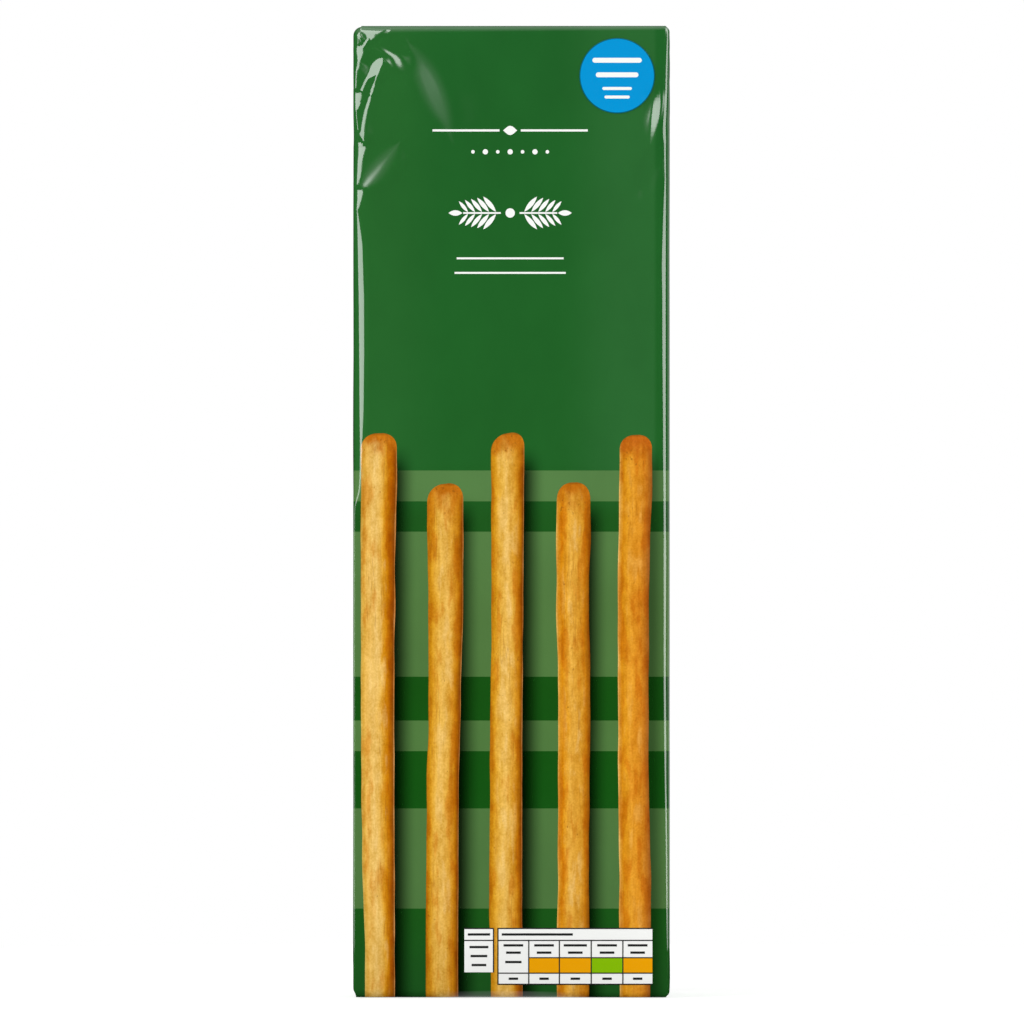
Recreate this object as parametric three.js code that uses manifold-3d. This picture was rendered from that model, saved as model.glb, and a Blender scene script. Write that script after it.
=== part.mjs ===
// A shut pack of breadsticks: a tall slim block wrapped in glossy printed film, standing on one of its folded ends.
// The film is one sheet. It laps down the back in a long seam, and each end is closed by an envelope fold: two short
// side tucks lie underneath, then the front flap, then the back flap. A round label is stuck high on the front.
// Millimetres, +Z up, the origin at the middle of the base, the printed front facing -Y.

import * as THREE from "three";
import { mergeVertices } from "three/addons/utils/BufferGeometryUtils.js";
import Module from "manifold-3d";

const wasm = await Module();
wasm.setup();

// ---- Driving dimensions -------------------------------------------------------------------------------------------

const WIDTH = 74;
const DEPTH = 32;
const HEIGHT = 227.6;

// The film turns each upright edge in a soft bend, and pulls tighter on the right than on the left.
const FRONT_LEFT_BEND = 3.9;
const FRONT_RIGHT_BEND = 2.25;
const BACK_BEND = 3;

// The bend round the top and bottom rims, at the left side and at the right side of the pack.
const LEFT_RIM_BEND = 2.1;
const RIGHT_RIM_BEND = 1.3;

const FLAP_REACH = 20; // from the rim to a flap's free edge, past the middle of the end
const FLAP_STEP = 0.18; // how far each layer of the envelope fold lies below the next
const TUCK_LEDGE = 0.5; // how far the lowest layer starts outside the flaps' slanting edges

const SEAM_WIDTH = 10;
const SEAM_STEP = 0.3; // the free edge of the lap stands this far proud of the back

const LABEL_RADIUS = 8.8;
const LABEL_THICKNESS = 0.28;
const LABEL_GAP = 0.02; // the layer of glue
const LABEL_FROM_RIGHT = 12.3; // centre of the label, from the pack's right side
const LABEL_FROM_TOP = 11.9;

// Slack film at the top left corner lies in shallow hollows. Each runs straight between two points that are given
// as [across from the left side, down from the top], with its half width and its depth.
const HOLLOWS = [
  { from: [2.4, 2.6], to: [7.6, 2.4], halfWidth: 1.9, depth: 0.45 },
  { from: [5.6, 6.6], to: [2.0, 15.5], halfWidth: 1.8, depth: 0.5 },
  { from: [8.2, 10.2], to: [3.4, 30.0], halfWidth: 2.2, depth: 0.5 },
  { from: [12.0, 9.5], to: [20.5, 22.5], halfWidth: 3.4, depth: 0.3 },
  { from: [7.6, 36.5], to: [2.6, 42.0], halfWidth: 1.9, depth: 0.35 },
];

// How finely the film is faceted, in millimetres: fine where it has hollows, coarse elsewhere.
const FINE_STEP = 1.7;
const COARSE_STEP = 12;
const FINE_REACH_ACROSS = 24;
const FINE_REACH_DOWN = 46;
const BEND_SEGMENTS = 5;
const RIM_SEGMENTS = 4;

const FILM_GREEN = 0x21632a;
const LABEL_BLUE = 0x0492d6;

// ---- Solids: three.js geometry to manifold-3d and back --------------------------------------------------------------

function toSolid(geometry) {
  const bare = geometry.clone();
  bare.deleteAttribute("normal");
  bare.deleteAttribute("uv");
  const merged = mergeVertices(bare, 1e-4);
  return new wasm.Manifold(
    new wasm.Mesh({
      numProp: 3,
      vertProperties: merged.attributes.position.array,
      triVerts: new Uint32Array(merged.index.array),
    }),
  );
}

function toGeometry(solid) {
  const mesh = solid.getMesh();
  const geometry = new THREE.BufferGeometry();
  geometry.setAttribute("position", new THREE.BufferAttribute(mesh.vertProperties, 3));
  geometry.setIndex(new THREE.BufferAttribute(mesh.triVerts, 1));
  geometry.computeVertexNormals();
  return geometry;
}

// A flat outline of [x, y] points, extruded upwards from one height to another.
function plate(points, bottom, top) {
  const shape = new THREE.Shape(points.map(([x, y]) => new THREE.Vector2(x, y)));
  const geometry = new THREE.ExtrudeGeometry(shape, { depth: top - bottom, bevelEnabled: false });
  return toSolid(geometry.translate(0, 0, bottom));
}

// ---- The outline of the pack, seen from above -----------------------------------------------------------------------

// Distances from 0 to length: fine steps over the first stretch, then coarse ones.
function gradedDistances(length, fineReach) {
  const fineCount = Math.round(fineReach / FINE_STEP);
  const coarseCount = Math.ceil((length - fineReach) / COARSE_STEP);
  const fine = Array.from({ length: fineCount }, (_, i) => (i * fineReach) / fineCount);
  const coarse = Array.from(
    { length: coarseCount + 1 },
    (_, i) => fineReach + (i * (length - fineReach)) / coarseCount,
  );
  return [...fine, ...coarse];
}

// Points round the outline, anticlockwise, each with its outward normal.
function outlineStations() {
  const halfWidth = WIDTH / 2;
  const halfDepth = DEPTH / 2;
  const stations = [];

  const side = (start, heading, normal, distances) => {
    for (const d of distances) {
      const point = start.clone().addScaledVector(heading, d);
      stations.push({ point, normal: normal.clone() });
    }
  };
  const bend = (centre, radius, startAngle) => {
    for (let i = 1; i < BEND_SEGMENTS; i++) {
      const angle = startAngle + ((Math.PI / 2) * i) / BEND_SEGMENTS;
      const normal = new THREE.Vector2(Math.cos(angle), Math.sin(angle));
      stations.push({ point: centre.clone().addScaledVector(normal, radius), normal });
    }
  };
  const east = new THREE.Vector2(1, 0);
  const north = new THREE.Vector2(0, 1);
  const west = new THREE.Vector2(-1, 0);
  const south = new THREE.Vector2(0, -1);
  const even = (length) => gradedDistances(length, 0);

  const frontLength = WIDTH - FRONT_LEFT_BEND - FRONT_RIGHT_BEND;
  side(
    new THREE.Vector2(-halfWidth + FRONT_LEFT_BEND, -halfDepth),
    east,
    south,
    gradedDistances(frontLength, FINE_REACH_ACROSS),
  );
  bend(
    new THREE.Vector2(halfWidth - FRONT_RIGHT_BEND, -halfDepth + FRONT_RIGHT_BEND),
    FRONT_RIGHT_BEND,
    -Math.PI / 2,
  );
  side(
    new THREE.Vector2(halfWidth, -halfDepth + FRONT_RIGHT_BEND),
    north,
    east,
    even(DEPTH - FRONT_RIGHT_BEND - BACK_BEND),
  );
  bend(new THREE.Vector2(halfWidth - BACK_BEND, halfDepth - BACK_BEND), BACK_BEND, 0);
  side(
    new THREE.Vector2(halfWidth - BACK_BEND, halfDepth),
    west,
    north,
    even(WIDTH - 2 * BACK_BEND),
  );
  bend(
    new THREE.Vector2(-halfWidth + BACK_BEND, halfDepth - BACK_BEND),
    BACK_BEND,
    Math.PI / 2,
  );
  side(
    new THREE.Vector2(-halfWidth, halfDepth - BACK_BEND),
    south,
    west,
    even(DEPTH - FRONT_LEFT_BEND - BACK_BEND),
  );
  bend(
    new THREE.Vector2(-halfWidth + FRONT_LEFT_BEND, -halfDepth + FRONT_LEFT_BEND),
    FRONT_LEFT_BEND,
    Math.PI,
  );
  return stations;
}

// ---- The film: stacked outlines, drawn in at the rims ---------------------------------------------------------------

function rimBend(x) {
  return THREE.MathUtils.lerp(LEFT_RIM_BEND, RIGHT_RIM_BEND, x / WIDTH + 0.5);
}

// How deep the hollows are at a point of the front, from 0 down to minus their depth.
function hollowAt(across, down) {
  let deepest = 0;
  for (const hollow of HOLLOWS) {
    const from = new THREE.Vector3(...hollow.from, 0);
    const to = new THREE.Vector3(...hollow.to, 0);
    const here = new THREE.Vector3(across, down, 0);
    const nearest = new THREE.Line3(from, to).closestPointToPoint(here, true, new THREE.Vector3());
    const away = here.distanceTo(nearest) / hollow.halfWidth;
    const share = away < 1 ? 0.5 + 0.5 * Math.cos(Math.PI * away) : 0;
    deepest = Math.max(deepest, share * hollow.depth);
  }
  return -deepest;
}

// The levels of the stacked outlines. A level in a rim has an angle, 0 on the end and 90 degrees on the side.
function levels() {
  const rim = Array.from({ length: RIM_SEGMENTS + 1 }, (_, i) => (Math.PI / 2) * (i / RIM_SEGMENTS));
  const straight = HEIGHT - 2 * LEFT_RIM_BEND;
  const down = gradedDistances(straight, FINE_REACH_DOWN).slice(1, -1);
  return [
    ...rim.map((angle) => ({ angle, end: "bottom" })),
    ...down.reverse().map((d) => ({ height: HEIGHT - LEFT_RIM_BEND - d })),
    ...rim.reverse().map((angle) => ({ angle, end: "top" })),
  ];
}

// One vertex of the film at a station and a level.
function filmPoint({ point, normal }, level) {
  const bend = rimBend(point.x);
  const inRim = level.angle !== undefined;
  const inset = inRim ? bend * (1 - Math.sin(level.angle)) : 0;
  const fromEnd = inRim ? bend * (1 - Math.cos(level.angle)) : 0;
  let z = level.height;
  if (level.end === "bottom") z = fromEnd;
  if (level.end === "top") z = HEIGHT - fromEnd;
  const facesFront = Math.max(0, -normal.y);
  const relief = inRim ? 0 : facesFront * hollowAt(point.x + WIDTH / 2, HEIGHT - z);
  const flat = point.clone().addScaledVector(normal, relief - inset);
  return [flat.x, flat.y, z];
}

function filmBlock() {
  const stations = outlineStations();
  const rows = levels();
  const count = stations.length;
  const positions = rows.flatMap((level) => stations.flatMap((s) => filmPoint(s, level)));
  const index = [];
  for (let row = 0; row < rows.length - 1; row++) {
    for (let i = 0; i < count; i++) {
      const a = row * count + i;
      const b = row * count + ((i + 1) % count);
      index.push(a, b, b + count, a, b + count, a + count);
    }
  }
  const rim = stations.map((s) => new THREE.Vector2(...filmPoint(s, rows[0]).slice(0, 2)));
  const last = (rows.length - 1) * count;
  for (const [a, b, c] of THREE.ShapeUtils.triangulateShape(rim, [])) {
    index.push(c, b, a);
    index.push(last + a, last + b, last + c);
  }
  const geometry = new THREE.BufferGeometry();
  geometry.setAttribute("position", new THREE.Float32BufferAttribute(positions, 3));
  geometry.setIndex(index);
  return toSolid(geometry);
}

// ---- The envelope folds and the seam --------------------------------------------------------------------------------

// The layers of an envelope fold lie one below the other, so the lower ones are cut back from the end of the block.
function foldCuts(isTop) {
  const beyond = 2; // the cutters run this far past the block
  const x = WIDTH / 2 + beyond;
  const y = DEPTH / 2 + beyond;
  const flapEdge = DEPTH / 2 - FLAP_REACH;
  const flapHalf = WIDTH / 2 - FLAP_REACH;
  const tuckTip = WIDTH / 2 - DEPTH / 2 + TUCK_LEDGE;
  const tuckHalf = x - tuckTip;
  const span = (depth) => (isTop ? [HEIGHT - depth, HEIGHT + beyond] : [-beyond, depth]);

  const besideBackFlap = [
    [-x, -y],
    [x, -y],
    [x, y],
    [flapHalf, flapEdge],
    [-flapHalf, flapEdge],
    [-x, y],
  ];
  const rightTuck = [
    [x, -tuckHalf],
    [x, tuckHalf],
    [tuckTip, 0],
  ];
  const leftTuck = rightTuck.map(([across, along]) => [-across, -along]);
  return [
    plate(besideBackFlap, ...span(FLAP_STEP)),
    plate(rightTuck, ...span(2 * FLAP_STEP)),
    plate(leftTuck, ...span(2 * FLAP_STEP)),
  ];
}

// The lap rises from nothing to its free edge.
function backSeam() {
  const root = 1; // how deep the strip is set into the block, so that the two fuse
  const wedge = [
    [-SEAM_WIDTH / 2, DEPTH / 2 - root],
    [SEAM_WIDTH / 2, DEPTH / 2 - root],
    [SEAM_WIDTH / 2, DEPTH / 2 + SEAM_STEP],
    [-SEAM_WIDTH / 2, DEPTH / 2],
  ];
  return plate(wedge, LEFT_RIM_BEND, HEIGHT - LEFT_RIM_BEND);
}

function filmPack() {
  let solid = filmBlock().add(backSeam());
  for (const cutter of [...foldCuts(false), ...foldCuts(true)]) {
    solid = solid.subtract(cutter);
  }
  const material = new THREE.MeshStandardMaterial({
    color: FILM_GREEN,
    roughness: 0.25,
    metalness: 0,
  });
  const mesh = new THREE.Mesh(toGeometry(solid), material);
  mesh.name = "film_pack";
  return mesh;
}

// ---- The label ------------------------------------------------------------------------------------------------------

function roundLabel() {
  const segments = 48;
  const geometry = new THREE.CylinderGeometry(LABEL_RADIUS, LABEL_RADIUS, LABEL_THICKNESS, segments);
  const material = new THREE.MeshStandardMaterial({
    color: LABEL_BLUE,
    roughness: 0.45,
    metalness: 0,
  });
  const mesh = new THREE.Mesh(geometry, material);
  mesh.name = "round_label";
  mesh.position.set(
    WIDTH / 2 - LABEL_FROM_RIGHT,
    -DEPTH / 2 - LABEL_GAP - LABEL_THICKNESS / 2,
    HEIGHT - LABEL_FROM_TOP,
  );
  return mesh;
}

const pack = new THREE.Group();
pack.name = "breadstick_pack";
pack.add(filmPack(), roundLabel());

export default pack;
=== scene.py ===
"""A shut pack of breadsticks in glossy printed film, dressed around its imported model.

Lengths are in millimetres until a vertex is placed, where MM turns them into metres. On a face, "across" runs
from its left side as it is seen from outside, and "down" runs from the top of the pack.
"""

import logging
import math
from collections.abc import Callable, Iterable, Sequence
from dataclasses import dataclass, field
from enum import Enum
from functools import cache, reduce
from typing import NamedTuple

import bmesh
import bpy
from mathutils import Matrix, Vector, noise


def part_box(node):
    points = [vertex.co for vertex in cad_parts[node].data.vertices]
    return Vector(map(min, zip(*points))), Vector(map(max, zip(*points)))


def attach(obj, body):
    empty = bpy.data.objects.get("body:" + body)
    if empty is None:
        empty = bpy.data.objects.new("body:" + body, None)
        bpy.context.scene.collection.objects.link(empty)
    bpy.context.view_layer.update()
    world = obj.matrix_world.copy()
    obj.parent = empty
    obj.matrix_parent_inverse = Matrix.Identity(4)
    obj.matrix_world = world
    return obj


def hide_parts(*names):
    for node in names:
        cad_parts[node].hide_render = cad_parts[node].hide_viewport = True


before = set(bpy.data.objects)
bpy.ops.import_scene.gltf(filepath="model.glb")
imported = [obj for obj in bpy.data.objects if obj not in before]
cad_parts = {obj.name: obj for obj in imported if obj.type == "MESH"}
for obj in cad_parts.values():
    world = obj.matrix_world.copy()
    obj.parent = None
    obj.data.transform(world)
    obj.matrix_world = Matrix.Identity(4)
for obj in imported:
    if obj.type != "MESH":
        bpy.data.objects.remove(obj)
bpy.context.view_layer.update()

BMesh = bmesh.types.BMesh
Material = bpy.types.Material
NodeTree = bpy.types.NodeTree
Socket = bpy.types.NodeSocket
Colour = tuple[float, float, float, float]
Stops = Sequence[tuple[float, int, int, int]]
Feeds = dict[str | int, object]
WHITE = (1.0, 1.0, 1.0, 1.0)

MM = 0.001
WELD = 1e-7  # In metres: vertices that lie closer than this become one.
SHARP = math.radians(40)  # An edge that turns by more than this is shaded as a sharp one.
BODY = "root"
LOG = logging.getLogger("breadstick_pack")


# ---- Small helpers ----


def srgb(*display: float) -> Colour:
    """Turns a colour from display values to the linear values that shaders take.

    Args:
        display: Red, green and blue, from 0 to 255.

    Returns:
        The linear colour, with an alpha of 1.
    """
    shares = [value / 255 for value in display]
    linear = [share / 12.92 if share <= 0.04045 else ((share + 0.055) / 1.055) ** 2.4 for share in shares]
    return *linear, 1.0


def lerp(start: float, end: float, share: float) -> float:
    """The value that lies at that share of the way from start to end."""
    return start + (end - start) * share


def ease(share: float) -> float:
    """A smooth step from 0 to 1, held at its ends."""
    held = min(1.0, max(0.0, share))
    return held * held * (3 - 2 * held)


def steps(count: int, start: float = 0.0, end: float = 1.0) -> list[float]:
    """Values from start up to, but without, end, in that many equal steps."""
    return [lerp(start, end, i / count) for i in range(count)]


def grid_mesh(columns: int, rows: int, place: Callable[[int, int], Vector]) -> BMesh:
    """Makes a grid and moves each of its vertices to a place in millimetres.

    Args:
        columns: How many faces wide the grid is.
        rows: How many faces high it is.
        place: Gives a vertex's place from its column and its row.

    Returns:
        The grid, in metres.
    """
    bm = bmesh.new()
    bmesh.ops.create_grid(bm, x_segments=columns, y_segments=rows, size=1)
    for vert in bm.verts:
        column = round((vert.co.x + 1) / 2 * columns)
        row = round((vert.co.y + 1) / 2 * rows)
        vert.co = place(column, row) * MM
    bm.normal_update()
    return bm


def face_outwards(bm: BMesh) -> None:
    """Turns every face of a closed mesh outwards.

    Args:
        bm: The mesh.
    """
    bmesh.ops.recalc_face_normals(bm, faces=bm.faces[:])
    if bm.calc_volume(signed=True) < 0:
        bmesh.ops.reverse_faces(bm, faces=bm.faces[:])


def thicken(bm: BMesh, inwards: Vector) -> None:
    """Turns an open sheet into a closed one.

    Args:
        bm: The sheet.
        inwards: From the sheet to its other side, in millimetres.
    """
    grown = bmesh.ops.extrude_face_region(bm, geom=bm.faces[:])["geom"]
    copied = [part for part in grown if isinstance(part, bmesh.types.BMVert)]
    bmesh.ops.translate(bm, vec=inwards * MM, verts=copied)
    face_outwards(bm)


def merge_into(target: BMesh, other: BMesh) -> None:
    """Adds a copy of one mesh's geometry to another.

    Args:
        target: The mesh that gets the copy.
        other: The mesh that is copied, and then freed.
    """
    held = bpy.data.meshes.new("held")
    other.to_mesh(held)
    other.free()
    target.from_mesh(held)
    bpy.data.meshes.remove(held)


def finish_piece(name: str, bm: BMesh, material: Material, replaces: Iterable[str] = ()) -> None:
    """Turns a finished bmesh into a piece of the pack.

    Args:
        name: The piece's name.
        bm: Its mesh, in metres and in place, which is freed.
        material: Its finish.
        replaces: The CAD nodes that it stands for.
    """
    mesh = bpy.data.meshes.new(name)
    for face in bm.faces:
        face.smooth = True
    for edge in bm.edges:
        edge.smooth = edge.calc_face_angle(0.0) < SHARP
    bm.to_mesh(mesh)
    bm.free()
    mesh.materials.append(material)
    piece = bpy.data.objects.new(name, mesh)
    bpy.context.scene.collection.objects.link(piece)
    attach(piece, BODY)
    for node in replaces:
        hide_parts(node)
    LOG.info("%s: %d faces", name, len(mesh.polygons))


# ---- Sizes ----


@dataclass(frozen=True)
class PackSize:
    """The block's sizes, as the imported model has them."""

    width: float  # From side to side.
    front: float  # Where the front face lies, on Y.
    back: float  # Where the back face lies, on Y.
    height: float  # From the base to the top.

    @classmethod
    def from_frame(cls) -> "PackSize":
        """Reads the sizes from the node of the pack, whose seam stands proud of the back."""
        low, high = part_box("film_pack")
        return cls((high.x - low.x) / MM, low.y / MM, -low.y / MM, high.z / MM)

    @property
    def depth(self) -> float:
        """From the front face to the back face."""
        return self.back - self.front


class Face(Enum):
    """The four upright faces of the pack."""

    FRONT = "front"
    RIGHT = "right"
    BACK = "back"
    LEFT = "left"


class End(Enum):
    """The two folded ends, with the way that each faces along Z."""

    TOP = 1
    BOTTOM = -1


# ---- The form of the film: upright bends ----


class Turn(NamedTuple):
    """How the film turns from a side into the front, at one height.

    Between outer and inner it turns from OUTER_TILT to INNER_TILT away from the front's plane, so a short
    stretch there is a sharp bend and a long one is a soft bend.
    """

    down: float  # The height, from the top.
    outer: float  # Distance from the side where the sharpest stretch starts.
    inner: float  # Distance from the side where it ends.
    run_out: float = 1.33  # How much further the film goes before it is flat.


class ArcChain:
    """Three arcs in line, each touching the next, which turn a side into the front."""

    OUTER_TILT = math.radians(42)
    INNER_TILT = math.radians(20)

    def __init__(self, turn: Turn) -> None:
        """Works the arcs out.

        Args:
            turn: Where the film turns.
        """
        tilts = (math.pi / 2, self.OUTER_TILT, self.INNER_TILT, 0.0)
        self.reach = (0.0, turn.outer, turn.inner, turn.inner + turn.run_out)
        self.sines = [math.sin(tilt) for tilt in tilts]
        self.cosines = [math.cos(tilt) for tilt in tilts]
        self.depths = [0.0] * 4
        for i in (2, 1, 0):
            rise = self.cosines[i + 1] - self.cosines[i]
            self.depths[i] = self.depths[i + 1] + rise / self._curvature(i)

    def _curvature(self, arc: int) -> float:
        """One over the radius of an arc."""
        turned = self.sines[arc] - self.sines[arc + 1]
        return turned / (self.reach[arc + 1] - self.reach[arc])

    @property
    def flat(self) -> float:
        """Distance from the side where the front is flat."""
        return self.reach[3]

    @property
    def depth(self) -> float:
        """How far behind the front's plane the bend starts on the side."""
        return self.depths[0]

    def at_tilt(self, tilt: float) -> tuple[float, float]:
        """Finds the point of the bend that has a given tilt.

        Args:
            tilt: The tilt away from the front's plane, in radians.

        Returns:
            The point's distance from the side, and its depth behind the front's plane.
        """
        sine = math.sin(tilt)
        arc = next(i for i in range(3) if sine >= self.sines[i + 1] - 1e-9)
        curvature = self._curvature(arc)
        reach = self.reach[arc + 1] - (sine - self.sines[arc + 1]) / curvature
        depth = self.depths[arc + 1] + (self.cosines[arc + 1] - math.cos(tilt)) / curvature
        return reach, depth

    def depth_at(self, reach: float) -> float:
        """Finds how far behind the front's plane the film lies.

        Args:
            reach: The distance from the side.

        Returns:
            The depth there, which is 0 where the front is flat.
        """
        if reach >= self.flat:
            return 0.0
        held = max(0.0, reach)
        arc = next(i for i in range(3) if held <= self.reach[i + 1])
        sine = self.sines[arc] - (held - self.reach[arc]) * self._curvature(arc)
        cosine = math.sqrt(max(0.0, 1 - sine * sine))
        return self.depths[arc + 1] + (self.cosines[arc + 1] - cosine) / self._curvature(arc)


@dataclass(frozen=True)
class FrontBend:
    """One of the two upright bends beside the front, given by its turns from the top down."""

    turns: tuple[Turn, ...]

    @classmethod
    def through(cls, *rows: tuple[float, ...]) -> "FrontBend":
        """Makes a bend from rows that each hold the values of one turn."""
        return cls(tuple(Turn(*row) for row in rows))

    def at(self, down: float) -> ArcChain:
        """Works the bend out at a height, between the two turns that lie nearest.

        Args:
            down: The height, from the top.

        Returns:
            The bend's arcs there.
        """
        above = self.turns[0]
        for below in self.turns:
            if below.down >= down:
                break
            above = below
        gap = below.down - above.down
        share = min(1.0, max(0.0, (down - above.down) / gap)) if gap > 0 else 0.0
        return ArcChain(Turn(*(lerp(one, other, share) for one, other in zip(above, below))))


# The left bend is soft, but slack film at the top pinches it into short stretches. Beside the printed bars it
# ends in a taut, sharp edge.
LEFT_BEND = FrontBend.through(
    (0.0, 1.02, 1.12, 0.5), (1.4, 1.10, 1.28, 0.5), (3.2, 1.06, 1.58, 0.5), (4.4, 0.96, 1.98, 0.5),
    (5.1, 0.86, 2.26, 0.5), (6.3, 0.76, 2.18, 0.5), (7.1, 0.92, 1.92, 0.5), (8.3, 1.06, 1.44, 0.5),
    (9.4, 0.92, 1.24, 0.5), (10.6, 0.68, 0.94, 0.5), (12.2, 0.56, 0.76, 0.6), (14.9, 0.44, 0.64, 0.6),
    (15.7, 0.44, 1.84, 0.5), (16.1, 0.43, 1.92, 0.5), (17.2, 0.43, 1.70, 0.5), (18.2, 0.44, 1.48, 0.5),
    (19.0, 0.50, 1.10, 0.5), (19.9, 0.60, 0.74, 0.5), (22.0, 0.80, 0.88, 0.6), (24.5, 1.00, 1.12, 0.6),
    (26.0, 1.08, 1.60, 0.6), (27.6, 1.12, 2.60, 0.5), (28.6, 1.16, 2.84, 0.5), (30.9, 1.16, 2.34, 0.45),
    (33.6, 1.06, 1.80, 0.45), (36.4, 0.88, 1.18, 0.45), (37.3, 0.86, 1.14, 0.45),
    (38.6, 0.94, 2.24, 0.45), (40.8, 0.96, 1.66, 0.45), (43.2, 0.84, 0.94, 0.5), (44.4, 0.92, 1.14, 0.6),
    (51.0, 1.06, 2.03), (64.0, 1.26, 2.44), (77.0, 1.38, 2.46), (90.0, 1.46, 2.32), (98.0, 1.60, 1.98),
    (104.0, 1.58, 1.76), (108.0, 1.50, 1.56, 0.6), (113.0, 0.30, 0.34, 0.3), (228.0, 0.30, 0.34, 0.3),
)

# The right bend is tighter, and tightest at the top and near the base.
RIGHT_BEND = FrontBend.through(
    (0.0, 0.30, 0.52, 0.5), (5.5, 0.42, 0.68, 0.5), (10.2, 0.50, 0.84, 0.6), (14.9, 0.58, 0.95, 0.6),
    (24.2, 0.85, 1.25, 0.6), (31.2, 0.90, 1.28, 0.6), (35.9, 0.87, 1.12, 0.6), (40.6, 0.87, 1.31, 0.7),
    (45.3, 0.90, 1.52, 0.7), (54.6, 0.93, 1.82, 0.8), (59.3, 0.94, 1.82, 0.8), (64.0, 0.96, 1.72, 0.8),
    (73.0, 0.96, 1.72, 0.8), (82.7, 0.96, 1.64, 0.8), (92.0, 0.95, 1.50, 0.8), (101.0, 0.90, 1.48, 0.8),
    (115.0, 0.91, 1.34, 0.8), (125.0, 0.82, 1.36, 0.8), (134.0, 0.86, 1.33, 0.8),
    (152.0, 0.90, 1.31, 0.8), (167.0, 0.81, 1.22, 0.8), (176.0, 0.84, 1.10, 0.8),
    (185.6, 0.67, 0.95, 0.8), (195.0, 0.57, 0.82, 0.8), (204.0, 0.49, 0.76, 0.8),
    (213.0, 0.50, 0.60, 0.8), (228.0, 0.44, 0.50, 0.8),
)


# ---- The form of the film: creases and ripples ----


def rounded(path: Sequence[tuple[float, ...]], parts: int = 3) -> list[tuple[float, ...]]:
    """Runs a smooth curve through the points of a path.

    Args:
        path: The points, each as its places and whatever else changes along the path.
        parts: Number of parts that each stretch between two points becomes.

    Returns:
        The points of the curve, which has every given point on it.
    """
    curve = []
    for i in range(len(path) - 1):
        around = (path[max(0, i - 1)], path[i], path[i + 1], path[min(len(path) - 1, i + 2)])
        for part in range(parts):
            t = part / parts
            point = []
            for before, start, end, after in zip(*around):
                bow = 2 * before - 5 * start + 4 * end - after
                twist = 3 * start - before - 3 * end + after
                point.append(start + 0.5 * ((end - before) * t + bow * t**2 + twist * t**3))
            curve.append(tuple(point))
    curve.append(tuple(path[-1]))
    return curve


class Spot(NamedTuple):
    """A place on a face: how far it is from the face's left side, and how far down from the top."""

    across: float
    down: float


@dataclass(frozen=True)
class Fold:
    """One point along a crease."""

    across: float  # Its place from the face's left side.
    down: float  # Its place from the top.
    width: float  # Width of the slope that runs along the crease.
    valley: float  # Height of the slope's low border, above the plain film.
    ridge: float  # Height of its high border.


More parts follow.
